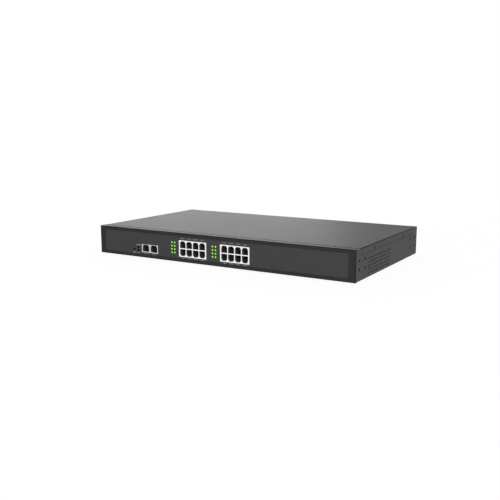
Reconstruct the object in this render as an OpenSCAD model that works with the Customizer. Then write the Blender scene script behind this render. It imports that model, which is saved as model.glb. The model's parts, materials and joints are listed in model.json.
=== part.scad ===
// Rack-width network switch in a folded steel case, in millimetres.
// +X is to the right, +Y to the rear and +Z up; the feet stand on z = 0.

/* [Case] */
// Width of the case
case_w = 440; // [432:1:470]
// Depth of the case, from the face of the bezel to the rear wall
case_d = 250; // [244:1:300]
// Height of the case above its feet
case_h = 44; // [43.5:0.5:60]
// Thickness of the steel sheet
sheet_t = 1; // [0.8:0.1:1.3]
// Outside radius of the folds in the sheet
fold_r = 1.5; // [1.4:0.1:2.2]
// Gap between sheets and parts that lie against each other
fit_gap = 0.1; // [0.05:0.05:0.25]

/* [Cover] */
// Height of the flanges folded down from the cover
flange_h = 9.6; // [9.4:0.2:11]
// Length of wall left at full height at each corner
corner_w = 12.5; // [11:0.5:34]
// Width of the open seam round the cover
seam_gap = 0.4; // [0.2:0.1:0.7]
// Depth of the lip folded back from the front wall, which the cover meets
lip_d = 9.5; // [6:0.5:10]
// Height of the short legs folded down on both sides of the seam between the lip and the cover
lip_leg = 5; // [3:0.5:7]
// Distance between the two screws of each side flange
side_screw_pitch = 120; // [90:1:160]
// Distance between neighbouring screws of the rear flange
rear_screw_pitch = 140; // [110:1:170]
// Height of the cover screws above the lower edge of their flange
cover_screw_up = 3.1; // [2.8:0.1:3.6]

/* [Rack holes] */
// Distance of the first rack holes from the front and the rear of the case
ear_inset = 12; // [10:0.5:16]
// Distance between the rack holes along the case
ear_pitch_y = 20; // [16:1:24]
// Distance between the rack holes up the case
ear_pitch_z = 12; // [10:1:14]
// Radius of the rack holes
ear_hole_r = 2; // [1.5:0.1:2.5]
// Radius of the clinch nuts behind the rack holes
ear_nut_r = 3.5; // [3.2:0.1:3.8]
// Height of the clinch nuts behind the rack holes
ear_nut_h = 2; // [1.5:0.1:2.5]

/* [Vents] */
// Columns of vent holes in each side
vent_cols = 17; // [4:1:20]
// Rows of vent holes in each side
vent_rows = 5; // [1:1:5]
// Distance between neighbouring vent holes
vent_pitch = 5.1; // [4.4:0.1:5.2]
// Radius of the vent holes
vent_r = 1.2; // [0.8:0.1:1.8]
// Distance of the first column of vents from the front
vent_from_front = 44.3; // [42:0.1:60]
// Height of the lowest row of vents above the case's underside
vent_from_base = 5.9; // [5:0.1:9]

/* [Front panel] */
// Thickness of the bezel
bezel_t = 3; // [2.6:0.1:4]
// Rounding of the bezel's front edges
bezel_edge_r = 1; // [0.2:0.1:1.4]
// Width of the bezel's border left and right of the overlay
border_side = 10.6; // [6:0.2:16]
// Height of the bezel's border above and below the overlay
border_edge = 5.4; // [5:0.1:6]
// Corner radius of the overlay
overlay_r = 3.5; // [1:0.5:6]
// Thickness of the overlay
overlay_t = 0.5; // [0.3:0.1:0.6]
// Depth of the overlay's recess in the bezel
recess_d = 0.6; // [0.6:0.1:0.9]
// Gap around whatever comes through the front
front_gap = 0.25; // [0.15:0.05:0.4]
// Extra room around it in the steel front wall
wall_extra = 0.35; // [0.2:0.05:0.5]
// Distance of the outer bezel screws from the sides
bezel_screw_side = 15; // [12:1:30]
// Distance of the bezel screws from the case's underside and from the cover
bezel_screw_edge = 3.8; // [3.6:0.1:4]
// Radius of the bezel screws
bezel_screw_r = 1.1; // [0.9:0.1:1.2]
// Radius of the bezel screws' heads
bezel_head_r = 2.1; // [1.8:0.1:2.2]
// Depth of the bezel screws in the bezel
bezel_pilot = 1.7; // [1.2:0.1:1.8]

/* [Jacks] */
// Depth of the jacks behind the front
jack_d = 22; // [18:0.5:26]
// Depth of the jacks' cavities
cavity_d = 14; // [12:0.5:15]
// Thickness of the jacks' shields
shield_t = 0.3; // [0.2:0.05:0.5]
// Distance of the network jack's middle from the left side
lan_from_left = 100.4; // [100:0.1:108]
// Distance between the two cavities of the network jack
lan_pitch = 15.8; // [14:0.1:16]
// Width of a network cavity
lan_cavity_w = 12.4; // [11.8:0.1:12.8]
// Height of a network cavity up to its latch steps
lan_cavity_h = 7.8; // [7.4:0.1:8.2]
// Thickness of the network jack's lower wall
lan_sill = 1.4; // [1:0.1:1.6]
// Thickness of the network jack's upper wall
lan_lintel = 0.7; // [0.7:0.1:1.2]
// Thickness of the network jack's side walls
lan_side = 1.8; // [1.6:0.1:2.4]
// Distance of the first line jack's middle from the left side
line_from_left = 180.9; // [178:0.1:182]
// Distance between the columns of a line jack
line_pitch = 11.7; // [11.2:0.1:11.9]
// Width of a line cavity
line_cavity_w = 10.2; // [9.6:0.1:10.4]
// Height of a line cavity up to its latch steps
line_cavity_h = 7.5; // [6.8:0.1:7.6]
// Thickness of the line jacks' lower and upper walls
line_wall = 1.4; // [1.2:0.1:1.8]
// Thickness of the line jacks' side walls
line_side = 2.1; // [1.8:0.1:2.5]
// Thickness of the wall between the two rows of a line jack
line_web = 1.5; // [1.2:0.1:2]
// Inset of the first latch step from the sides of its cavity
latch_in = 0.4; // [0.2:0.1:0.7]
// Inset of the second latch step from the first
latch_step_in = 1.2; // [0.6:0.1:1.6]
// Height of the two latch steps together
latch_h = 2.8; // [2.4:0.1:3]
// Distance between neighbouring spring contacts
contact_pitch = 1.02; // [0.95:0.01:1.1]
// Width of a spring contact
contact_w = 0.45; // [0.3:0.05:0.6]
// Thickness of a spring contact
contact_t = 0.25; // [0.2:0.05:0.35]
// Rise of a spring contact's free end
contact_rise = 1.6; // [1:0.1:1.7]
// Distance of the spring contacts' bend behind the face
contact_front = 3; // [2:0.5:4]
// Distance of the spring contacts' free end behind the face
contact_tip = 10; // [8:0.5:11]
// Length of a spring contact's bend
contact_bend = 1.5; // [1:0.1:2]
// Radius of the pegs that locate the jacks in the board
peg_r = 1.6; // [1.2:0.1:1.8]
// Distance of the pegs from the sides of their jack
peg_side = 5; // [4:0.5:7]
// Distance of the pegs behind the jack's face
peg_back = 13; // [11:0.5:15]

/* [Lamps] */
// Radius of a line lamp
led_r = 1.5; // [1.2:0.1:1.6]
// Radius of a status lamp
status_r = 1.6; // [1.3:0.1:1.8]
// Distance between the two columns of lamps
led_pitch_x = 5.3; // [4.6:0.1:6]
// Distance between the rows of lamps
led_pitch_z = 5.1; // [4.6:0.1:5.4]
// Height of the lowest lamps above the main board
led_low = 5.15; // [4.6:0.05:6]
// Distance of the lamps' middle from the side of their jack
led_gap = 10.95; // [9:0.05:12]
// Distance of the second lamps' middle from the side of the first line jack
bank_gap = 13.25; // [10:0.05:20]
// Depth of the lamp holders
led_holder_d = 8; // [6:0.5:12]
// Length of a lamp inside its holder
led_seat = 5; // [3:0.5:5.5]
// Wall of the lamp holders around the outer lamps
led_wall = 1.2; // [0.8:0.1:1.4]
// Distance of the status lamps from the middle of the network jack
status_from_lan = 22.4; // [21.5:0.1:26]
// Height of the lower status lamp above the main board
status_up = 2.4; // [2.2:0.1:3.4]

/* [Reset] */
// Distance of the reset hole from the status lamps
reset_from_status = 8.3; // [7:0.1:12]
// Height of the reset hole above the main board
reset_up = 3.9; // [3.6:0.1:4.8]
// Radius of the reset hole
reset_hole_r = 1.3; // [0.8:0.1:1.4]
// Radius of the reset button
reset_r = 1.6; // [1.4:0.1:2]
// Length of the reset button outside its switch
reset_len = 2.2; // [1.5:0.1:3]
// Travel of the reset button
reset_travel = 0.3; // [0.2:0.05:0.5]
// Length of the reset button inside its switch
reset_seat = 1.5; // [1:0.1:2]
// Gap between the reset button and its switch
reset_gap = 0.1; // [0.05:0.05:0.2]
// Width of the reset switch
reset_w = 6.2; // [5.6:0.1:7]
// Depth of the reset switch
reset_d = 4.4; // [4:0.1:6]

/* [Main board] */
// Height of the boards' upper face above the case's underside
board_up = 8.2; // [7.6:0.1:8.6]
// Thickness of the boards
pcb_t = 1.6; // [1.2:0.1:2]
// Gap between the main board and the power supply board
board_gap = 19; // [14:1:24]
// Depth of the main board
board_d = 200; // [180:1:205]
// Distance of the main board from the left wall
board_side = 7; // [5:0.5:9]
// Gap between the main board and the front wall
board_front_gap = 0.6; // [0.4:0.1:1]
// Distance of the board screws from the boards' edges
board_screw_in = 5; // [4.5:0.5:6]
// Gap between the jacks and the screw heads behind them
jack_screw_gap = 3.3; // [1:0.1:4]
// Distance of the main board's middle screws from its left edge
board_screw_mid = 118; // [114:1:122]
// Radius across the corners of a board standoff
standoff_r = 2.9; // [2.6:0.1:3.4]
// Length of the board screws below the boards
board_screw_len = 4.4; // [3:0.1:4.6]
// Edge of the processor
chip_w = 23; // [16:1:27]
// Thickness of the processor's carrier
chip_base_t = 0.8; // [0.5:0.1:1.2]
// Thickness of the processor with its lid
chip_t = 1.8; // [1.4:0.1:3]
// Border of the processor's carrier around its lid
chip_border = 2; // [1:0.5:4]
// Distance of the processor from the main board's left edge
processor_x = 92; // [84:1:96]
// Distance of the processor from the main board's front edge
processor_y = 92; // [84:1:110]
// Edge of the heat sink
sink_w = 34; // [28:1:40]
// Height of the heat sink
sink_h = 12; // [6:1:18]
// Thickness of the heat sink's base
sink_base = 2.5; // [1.5:0.1:4]
// Fins of the heat sink
sink_fins = 9; // [4:1:11]
// Thickness of the heat sink's fins
sink_fin_t = 1.6; // [1:0.1:2]
// Width of a memory chip
memory_w = 12; // [8:0.5:14]
// Depth of a memory chip
memory_d = 9; // [7:0.5:12]
// Thickness of a memory chip
memory_t = 1.2; // [0.8:0.1:1.6]
// Gap between the heat sink and the leads of the memory chips
memory_gap = 16; // [6:1:24]
// Distance of the first memory chip from the main board's front edge
memory_y = 84; // [76:1:96]
// Distance between the memory chips
memory_pitch = 20; // [16:1:26]
// Width of a line driver chip
driver_w = 7; // [5:0.1:7.8]
// Depth of a line driver chip
driver_d = 9; // [7:0.5:12]
// Thickness of a line driver chip
driver_t = 1.4; // [1:0.1:2]
// Distance of the line driver chips from the main board's front edge
driver_back = 34; // [30:1:38]
// Distance of the ringing coils from the main board's front edge
coil_back = 56; // [52:1:62]
// Radius of a ringing coil's flanges
coil_r = 5.4; // [4:0.1:5.5]
// Depth of the winding groove in a ringing coil
coil_groove = 0.7; // [0.4:0.1:1]
// Height of a ringing coil
coil_h = 8; // [6:0.5:10]
// Thickness of a ringing coil's flanges
coil_flange_t = 1.4; // [1:0.1:2]
// Width of the network transformer
magnetics_w = 24; // [18:0.5:28]
// Depth of the network transformer
magnetics_d = 12; // [8:0.5:14]
// Height of the network transformer
magnetics_h = 6; // [4:0.5:8]
// Distance of the network transformer from the main board's front edge
magnetics_back = 36; // [32:1:42]
// Length of a chip's leads beside its body
lead_reach = 1; // [0.6:0.1:1.2]
// Width of a chip's leads
lead_w = 0.5; // [0.3:0.05:0.6]
// Thickness of a chip's leads
lead_t = 0.3; // [0.2:0.05:0.4]
// Distance between a chip's leads
lead_pitch = 1.27; // [1:0.01:1.5]
// Distance of the last board capacitor from the main board's right edge
capacitor_in = 28; // [14:1:60]
// Distance of the first board capacitor from the main board's front edge
capacitor_y = 150; // [110:1:160]
// Distance between the board capacitors
capacitor_pitch = 14; // [12:0.5:16]
// Radius of a board capacitor
capacitor_r = 5; // [4:0.1:5.5]
// Height of a board capacitor
capacitor_h = 16; // [10:1:25]
// Depth of the groove around a capacitor's foot
capacitor_groove = 0.5; // [0.3:0.1:0.8]
// Height of the groove's lower edge
groove_low = 2; // [1:0.1:2.4]
// Height of the groove's upper edge
groove_high = 3; // [2.6:0.1:4]

/* [Board connectors] */
// Distance of the direct-current connectors from the main board's front edge
dc_back = 70; // [68:1:72]
// Wires between the boards
dc_pins = 4; // [2:1:4]
// Distance between the wires
dc_pitch = 2.5; // [2.45:0.05:2.7]
// Width of a direct-current connector
dc_w = 6; // [5:0.1:6.4]
// Height of a direct-current connector
dc_h = 8; // [6:0.5:10]
// Wall of a direct-current connector at each end of its row
dc_end = 1; // [0.5:0.1:1.5]
// Distance of a direct-current connector from the edge of its board
dc_in = 3; // [2:0.1:3.4]
// Thickness of the latch rib on a direct-current connector
rib_t = 0.8; // [0.4:0.1:1.2]
// Width of the latch rib
rib_w = 4; // [2:0.5:6]
// Height of the latch rib
rib_h = 3; // [2:0.5:5]
// Height of the control points over the wires between the boards
dc_arch = 14; // [10:1:20]

/* [Power supply] */
// Width of the power supply board
psu_w = 98; // [94:1:100]
// Depth of the power supply board
psu_d = 150; // [146:1:155]
// Distance of the power supply board from the right wall
psu_side = 8; // [6:0.5:10]
// Distance of the power supply board from the front wall
psu_front = 20; // [16:1:24]
// Thickness of the insulating sheet under the power supply
insulator_t = 0.4; // [0.2:0.1:0.8]
// Border of the insulating sheet around the power supply board
insulator_over = 2; // [1:0.5:4]
// Distance of the transformer from the power supply board's left edge
transformer_x = 49; // [46:1:52]
// Distance of the transformer from the power supply board's front edge
transformer_y = 62; // [57:1:66]
// Width of the transformer
transformer_w = 34; // [28:1:38]
// Depth of the transformer's winding
transformer_d = 30; // [26:1:34]
// Height of the transformer
transformer_h = 27; // [20:1:30]
// Depth of the transformer's core
core_d = 18; // [12:1:22]
// Thickness of the transformer's core around the winding
core_leg = 6; // [4:0.5:7]
// Distance of the main capacitor from the power supply board's left edge
bulk_x = 72; // [68:1:78]
// Distance of the main capacitor from the power supply board's front edge
bulk_y = 102; // [98:1:108]
// Radius of the main capacitor
bulk_r = 11; // [8:0.5:12]
// Height of the main capacitor
bulk_h = 30; // [20:1:32]
// Distance of the first output capacitor from the power supply board's left edge
output_x = 22; // [20:1:26]
// Distance of the first output capacitor from the power supply board's front edge
output_y = 18; // [15:1:21]
// Distance between the output capacitors
output_pitch = 14; // [12:0.5:15]
// Radius of an output capacitor
output_r = 5; // [4:0.1:5.5]
// Height of an output capacitor
output_h = 20; // [12:1:28]
// Distance of the first heat sink from the power supply board's left edge
psu_sink_1_x = 18; // [17:1:21]
// Distance of the first heat sink from the power supply board's front edge
psu_sink_1_y = 48; // [45:1:52]
// Distance of the second heat sink from the power supply board's left edge
psu_sink_2_x = 78; // [76:1:84]
// Distance of the second heat sink from the power supply board's front edge
psu_sink_2_y = 28; // [26:1:32]
// Thickness of the power supply's heat sinks
psu_sink_t = 2; // [1.5:0.1:3]
// Length of the power supply's heat sinks
psu_sink_l = 34; // [24:1:38]
// Height of the power supply's heat sinks
psu_sink_h = 26; // [18:1:32]
// Width of the turned edge on the power supply's heat sinks
psu_sink_edge = 8; // [5:0.5:10]
// Distance of the choke from the power supply board's left edge
choke_x = 34; // [30:1:38]
// Distance of the choke from the power supply board's front edge
choke_y = 104; // [100:1:110]
// Outer radius of the choke
choke_r = 10; // [8:0.5:11]
// Radius of the hole in the choke
choke_hole_r = 4.5; // [3:0.5:5]
// Height of the choke
choke_h = 12; // [8:0.5:16]
// Rounding of the choke's edges
choke_round = 2; // [0.5:0.1:2.4]
// Distance of the fuse from the power supply board's left edge
fuse_x = 62; // [58:1:66]
// Distance of the fuse from the power supply board's rear edge
fuse_back = 10; // [8:1:16]
// Radius of the fuse's tube
fuse_r = 2.6; // [2:0.1:3]
// Length of the fuse
fuse_len = 20; // [18:0.5:22]
// Length of the fuse's caps
fuse_cap = 5; // [3:0.5:7]
// Height of the fuse's caps over its tube
fuse_rim = 0.4; // [0.2:0.1:0.6]
// Distance of the mains connector from the power supply board's left edge
ac_x = 24; // [20:1:28]
// Distance of the mains connector from the power supply board's rear edge
ac_back = 5; // [3:1:10]
// Width of the mains connector
ac_w = 14; // [12:0.5:16]
// Depth of the mains connector
ac_d = 9; // [7:0.5:10]
// Height of the mains connector
ac_h = 10; // [8:0.5:12]
// Distance between the wires of the mains connector
ac_pitch = 7; // [5:0.5:8]
// Radius of the wells over the mains connector's screws
ac_well_r = 1.8; // [1.2:0.1:2]
// Depth of the wells over the mains connector's screws
ac_well_d = 3; // [1:0.5:4]

/* [Wires] */
// Radius of the insulated wires
wire_r = 1.1; // [0.8:0.1:1.2]
// Reach of the shorter wire between the inlet and the switch
short_reach = 14; // [12:1:16]
// Reach of the longer wire between the inlet and the switch
long_reach = 30; // [27:1:34]
// Reach of the wires between the switch and the power supply
supply_reach = 22; // [18:1:26]
// Reach of the earth wire at the inlet
earth_reach_inlet = 20; // [16:1:24]
// Reach of the earth wire at the earth screw
earth_reach_screw = 44; // [40:1:48]
// Rise of the earth wire over the other wires
earth_arch = 12; // [11:0.5:13]

/* [Mains inlet] */
// Distance of the inlet's middle from the right side
inlet_from_right = 58; // [54:1:62]
// Length of the inlet's flange beyond its screws
inlet_flange_end = 4.5; // [4:0.1:6]
// Height of the inlet's flange above and below its body
inlet_lip = 1.4; // [1:0.1:2]
// Thickness of the inlet's flange
inlet_flange_t = 2.4; // [2:0.1:3]
// Wall of the inlet's body around its cavity
inlet_wall = 1.5; // [1.2:0.1:1.8]
// Thickness of the inlet's floor behind its cavity
inlet_floor = 4.4; // [3:0.1:6]
// Width of the inlet's cavity
inlet_cavity_w = 24.4; // [24:0.1:24.8]
// Height of the inlet's cavity
inlet_cavity_h = 16.8; // [16.4:0.1:17.2]
// Depth of the inlet's cavity
inlet_cavity_d = 16; // [15:0.5:17]
// Cut of the two upper corners of the inlet's cavity
inlet_chamfer = 4.6; // [3:0.1:5]
// Distance of the two outer pins from the inlet's middle
pin_side = 7; // [6:0.1:7.4]
// Height of the earth pin above the outer pins
pin_rise = 4; // [3.6:0.1:4.4]
// Distance of the outer pins below the inlet's middle
pin_drop = 1; // [0.8:0.1:1.4]
// Width of a pin
pin_w = 2; // [1.6:0.1:2.2]
// Height of a pin
pin_h = 4; // [3.4:0.1:4.2]
// Length of a pin in the cavity
pin_len = 13; // [10:0.5:14]
// Distance between the inlet's screws
inlet_screw_pitch = 40; // [38:0.5:41]
// Corner radius of the inlet's flange
inlet_flange_r = 2; // [0.5:0.5:4]
// Length of the terminals behind the inlet and the switch
tab_len = 7; // [5:0.5:8]
// Width of the terminals
tab_w = 4.8; // [3:0.1:5]
// Thickness of the terminals
tab_t = 0.8; // [0.6:0.1:1]

/* [Power switch] */
// Distance of the switch's middle from the inlet's middle
switch_from_inlet = 46; // [42:1:50]
// Radius of the rocker
rocker_r = 8.4; // [7.6:0.1:9]
// Width of the rocker
rocker_w = 10.4; // [9:0.1:11]
// Distance of the rocker's faces from its axis
rocker_face = 1.5; // [1.3:0.1:2]
// Throw of the rocker in degrees
rocker_throw = 22; // [16:1:26]
// Gap between the rocker and its housing
rocker_gap = 0.3; // [0.3:0.05:0.5]
// Wall of the switch housing around the rocker
switch_wall = 1; // [0.8:0.1:1.4]
// Thickness of the switch's flange
switch_flange_t = 2; // [1.6:0.1:2.6]
// Width of the switch's flange beyond its body
switch_lip = 1.4; // [1:0.1:2]
// Depth of the rocker's axis below the face of the flange
rocker_sink = 1.2; // [1:0.1:1.5]
// Corner radius of the switch's flange
switch_flange_r = 1; // [0.5:0.1:1.4]
// Depth of the switch body behind the rear wall
switch_body_d = 12; // [11.5:0.5:16]
// Depth of the rocker behind its axis
rocker_back = 3.8; // [3:0.1:5]
// Distance of the switch's terminals from its middle to the left and the right
tab_side = 3.5; // [3:0.1:4.5]
// Distance of the switch's terminals from its middle up and down
tab_rise = 5; // [4:0.1:6]
// Radius of the rocker's pivot
pivot_r = 0.9; // [0.7:0.1:1]
// Length of the rocker's pivot in each side of the housing
pivot_len = 0.6; // [0.5:0.1:0.7]

/* [Earth screw] */
// Distance of the earth screw from the switch's middle
earth_from_switch = 26; // [22:1:32]
// Radius of the earth screw
earth_r = 2; // [1.5:0.1:2.5]
// Thickness of the earth screw's washer
washer_t = 1; // [0.6:0.1:1.4]
// Radius of the earth screw's washer
washer_r = 4.8; // [4.4:0.1:5.5]
// Height of the earth screw's head
earth_head_h = 2.6; // [1.6:0.1:3]
// Radius of the earth screw's head
earth_head_r = 3.8; // [3.2:0.1:4.2]
// Height of the earth screw's nut
earth_nut_h = 3.2; // [2:0.1:4]
// Radius across the corners of the earth screw's nut
earth_nut_r = 4; // [3.6:0.1:4.4]
// Length of the earth screw beyond its nut
earth_tail = 2; // [1:0.1:3]

/* [Fasteners] */
// Radius of the small screws
screw_r = 1.45; // [1.2:0.05:1.5]
// Radius of the small screws' heads
head_r = 2.7; // [2.4:0.1:2.8]
// Height of the small screws' round heads
head_h = 1.8; // [1.2:0.1:2]
// Clearance between a screw and its thread or seat
thread_gap = 0.05; // [0.03:0.01:0.1]
// Clearance of the holes that screws pass
hole_gap = 0.25; // [0.15:0.05:0.35]
// Radius of the clinch nuts behind the cover screws
clinch_r = 3; // [2.6:0.1:3.2]
// Height of the clinch nuts behind the cover screws
clinch_h = 2; // [1.5:0.1:2.5]
// Width of the slots of a cross recess
cross_w = 0.7; // [0.5:0.1:0.9]
// Depth of a cross recess
cross_d = 0.8; // [0.5:0.1:1]
// Length of a cross recess's slots
cross_l = 2.6; // [2:0.1:3]
// Length of the small screws beyond their nuts
screw_tail = 1.4; // [0.8:0.1:2]

/* [Feet] */
// Radius of a foot where it is stuck on
foot_r = 8; // [6:0.5:10]
// Height of the feet
foot_h = 2.5; // [1.5:0.1:4]
// Taper of a foot's side
foot_taper = 0.8; // [0.2:0.1:1.5]
// Distance of the feet from the sides of the case
foot_side = 34; // [20:1:60]
// Distance of the feet from the front and the rear
foot_end = 30; // [20:1:50]

/* [Hidden] */
$fn = 48;
// Overrun of cutters past the faces they cut
cut = 1;
// How far the raised end of the rocker stands out of the rear wall
rear_reach = switch_flange_t - rocker_sink
    + rocker_r*sin(rocker_throw + asin(rocker_face/rocker_r));
front_y = -(case_d + rear_reach)/2;
rear_y = front_y + case_d;
mid_y = front_y + case_d/2;
side_x = case_w/2;
base_z = foot_h;
floor_z = base_z + sheet_t;
top_z = base_z + case_h;
lid_z = top_z - sheet_t;
seam_z = top_z - flange_h;
cover_screw_z = seam_z + seam_gap + cover_screw_up;
mid_z = base_z + case_h/2;
// Steel tray behind the bezel
tray_y = front_y + bezel_t;
tray_d = case_d - bezel_t;
step_in = sheet_t + fit_gap;
vent_y = front_y + vent_from_front;
vent_z = base_z + vent_from_base;
inner_y = tray_y + sheet_t;
lip_y = tray_y + lip_d;
cover_y = lip_y + seam_gap;
// Plane of the overlay's face, shared by the jacks and lamps
face_y = front_y + recess_d - overlay_t;
// Boards
board_z = base_z + board_up - pcb_t;
board_top = base_z + board_up;
board_x = -side_x + sheet_t + board_side;
board_y = inner_y + board_front_gap;
psu_x = side_x - sheet_t - psu_side - psu_w;
psu_y = inner_y + psu_front;
board_w = psu_x - board_gap - board_x;
// Sockets and contacts of the jacks
lan_columns = 2;
lan_rows = 1;
lan_contacts = 8;
line_columns = 4;
line_rows = 2;
line_contacts = 4;
// Jacks as [columns, rows, pitch, cavity width, cavity height, lower wall, web, contacts, side wall,
// upper wall]
lan_jack = [lan_columns, lan_rows, lan_pitch, lan_cavity_w, lan_cavity_h, lan_sill, 0,
    lan_contacts, lan_side, lan_lintel];
line_jack = [line_columns, line_rows, line_pitch, line_cavity_w, line_cavity_h, line_wall, line_web,
    line_contacts, line_side, line_wall];
// Height of a cavity with its latch steps
function cavity_h(j) = j[4] + latch_h;
function jack_w(j) = (j[0] - 1)*j[2] + j[3] + 2*j[8];
function jack_h(j) = j[1]*cavity_h(j) + (j[1] - 1)*j[6] + j[5] + j[9];
lan_x = -side_x + lan_from_left;
line_spacing = jack_w(line_jack) + led_gap + bank_gap;
line_x = [-side_x + line_from_left, -side_x + line_from_left + line_spacing];
// Lamps
led_rows = 4;
led_offset = jack_w(line_jack)/2 + led_gap;
status_x = lan_x - status_from_lan;
status_z = board_top + status_up;
reset_x = status_x - reset_from_status;
reset_z = board_top + reset_up;
// Front face of the reset switch's body
reset_y = board_y + reset_len + reset_travel;
// Rear of the case
inlet_x = side_x - inlet_from_right;
switch_x = inlet_x - switch_from_inlet;
earth_x = switch_x - earth_from_switch;
pivot_y = rear_y + switch_flange_t - rocker_sink;
inlet_body_w = inlet_cavity_w + 2*inlet_wall;
inlet_body_h = inlet_cavity_h + 2*inlet_wall;
inlet_body_d = inlet_cavity_d + inlet_floor - inlet_flange_t;
inlet_flange_w = inlet_screw_pitch + 2*inlet_flange_end;
inlet_flange_h = inlet_body_h + 2*inlet_lip;
switch_in_w = rocker_w + 2*rocker_gap;
switch_body_w = switch_in_w + 2*switch_wall;
switch_body_h = 2*(rocker_r + rocker_gap + switch_wall);
inlet_tab_y = rear_y - inlet_body_d - tab_len;
switch_tab_y = rear_y - switch_body_d - tab_len;
pin_z = mid_z - pin_drop;
earth_end_y = rear_y - sheet_t - earth_nut_h - earth_tail;
// Rows and columns of parts on the boards
capacitor_columns = 3;
capacitor_rows = 2;
output_columns = 3;
memory_count = 2;
memory_x = processor_x + sink_w/2 + memory_gap + lead_reach + memory_w/2;
// The two direct-current connectors face each other across the gap between the boards
dc_l = dc_pins*dc_pitch + 2*dc_end;
dc_board_x = board_x + board_w - dc_in - dc_w/2;
dc_psu_x = psu_x + dc_in + dc_w/2;
dc_y = board_y + dc_back;
// Sides and steps of the wires
wire_sides = 10;
wire_steps = 24;

// Rectangle with rounded corners, centred
module round_rect(w, h, r) {
    square([w, h - 2*r], center = true);
    square([w - 2*r, h], center = true);
    for (x = [-1, 1], y = [-1, 1])
        translate([x*(w/2 - r), y*(h/2 - r)]) circle(r = r);
}

// Cutter that rounds an edge lying along X, whose corner is at the origin and opens to +Y and +Z
module edge_round(length, r) {
    rotate([90, 0, 90]) translate([0, 0, -cut]) linear_extrude(length + 2*cut) difference() {
        translate([-cut, -cut]) square(r + cut);
        translate([r, r]) circle(r = r);
    }
}

// Fillet in an inner edge lying along X, whose corner is at the origin and opens to +Y and +Z
module edge_fill(length, r) {
    rotate([90, 0, 90]) linear_extrude(length) difference() {
        square(r);
        translate([r, r]) circle(r = r);
    }
}

// Solid standing between two depths on an outline drawn in X and Z
module from_front(y, depth) {
    translate([0, y + depth, 0]) rotate([90, 0, 0]) linear_extrude(depth) children();
}

// Screw along Z with a countersunk head whose face is at z = 0
module countersunk_screw(length) {
    difference() {
        union() {
            translate([0, 0, screw_r - head_r]) cylinder(h = head_r - screw_r, r1 = screw_r, r2 = head_r);
            translate([0, 0, -length]) cylinder(h = length, r = screw_r);
        }
        cross_recess(0);
    }
}

// Screw along Z with a round head that sits on z = 0
module round_screw(length, r = screw_r, head = head_r) {
    difference() {
        union() {
            cylinder(h = head_h, r = head);
            translate([0, 0, -length]) cylinder(h = length, r = r);
        }
        cross_recess(head_h);
    }
}

// Cross recess cut down from a given height
module cross_recess(z) {
    for (a = [0, 90])
        rotate(a) translate([-cross_l/2, -cross_w/2, z - cross_d]) cube([cross_l, cross_w, cross_d + cut]);
}

// Round nut from z = 0 down
module clinch_nut(r, h, bore_r) {
    translate([0, 0, -h]) difference() {
        cylinder(h = h, r = r);
        translate([0, 0, -cut]) cylinder(h = h + 2*cut, r = bore_r);
    }
}

// Every cover screw, with +Z out of the flange
module at_cover_screws() {
    for (s = [-1, 1], e = [-1, 1])
        translate([s*side_x, mid_y + e*side_screw_pitch/2, cover_screw_z])
            rotate([0, s*90, 0]) children();
    for (e = [-1, 0, 1])
        translate([e*rear_screw_pitch, rear_y, cover_screw_z])
            rotate([-90, 0, 0]) children();
}

// Every rack hole, with +Z out of the side
module at_rack_holes() {
    ends = [front_y + ear_inset, rear_y - ear_inset - ear_pitch_y];
    for (s = [-1, 1], y = ends, i = [0, 1], k = [-1, 1])
        translate([s*side_x, y + i*ear_pitch_y, mid_z + k*ear_pitch_z/2])
            rotate([0, s*90, 0]) children();
}

// Wall along X with its outer face at y = 0, stepped inwards where a flange covers it
module stepped_wall(length) {
    run = length - 2*corner_w + 2*sheet_t;
    rise = top_z - fold_r - fit_gap - seam_z + sheet_t;
    translate([0, 0, base_z]) cube([length, sheet_t, seam_z - base_z]);
    for (x = [0, length - corner_w])
        translate([x, 0, base_z]) cube([corner_w, sheet_t, lid_z - base_z]);
    translate([corner_w - sheet_t, 0, seam_z - sheet_t]) cube([run, step_in + sheet_t, sheet_t]);
    translate([corner_w - sheet_t, step_in, seam_z - sheet_t]) cube([run, sheet_t, rise]);
    for (x = [corner_w - sheet_t, length - corner_w])
        translate([x, 0, seam_z - sheet_t]) cube([sheet_t, step_in + sheet_t, rise]);
}

// Sheet folded down into a leg, along X with its outer face at y = 0 and its top at z = 0
module fold_down(length, leg) {
    rotate([90, 0, 90]) linear_extrude(length) {
        translate([fold_r, -fold_r]) intersection() {
            difference() {
                circle(r = fold_r);
                circle(r = fold_r - sheet_t);
            }
            translate([-fold_r, 0]) square(fold_r);
        }
        translate([0, -leg]) square([sheet_t, leg - fold_r]);
    }
}

// Places a wall or flange made along X on the right side, the left side and the rear
module on_sides(z) {
    for (s = [0, 1])
        mirror([s, 0, 0]) translate([side_x, tray_y, z]) rotate([0, 0, 90]) children();
}

module on_rear(z) {
    translate([side_x, rear_y, z]) rotate([0, 0, 180]) children();
}

// Openings of the front, drawn in X and Z
module front_openings(extra) {
    for (x = line_x) {
        window_at(x, line_jack, extra);
        for (c = [-1, 1], r = [0 : led_rows - 1])
            translate([x - led_offset + c*led_pitch_x/2, led_z(r)]) circle(r = led_r + front_gap + extra);
    }
    window_at(lan_x, lan_jack, extra);
    for (r = [0, 1])
        translate([status_x, status_z + r*led_pitch_z]) circle(r = status_r + front_gap + extra);
    translate([reset_x, reset_z]) circle(r = reset_hole_r + extra);
}

// Opening around one jack
module window_at(x, j, extra) {
    translate([x, board_top + jack_h(j)/2])
        square([jack_w(j) + 2*front_gap + 2*extra, jack_h(j) + 2*front_gap + 2*extra], center = true);
}

function led_z(row) = board_top + led_low + row*led_pitch_z;

// Case

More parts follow.
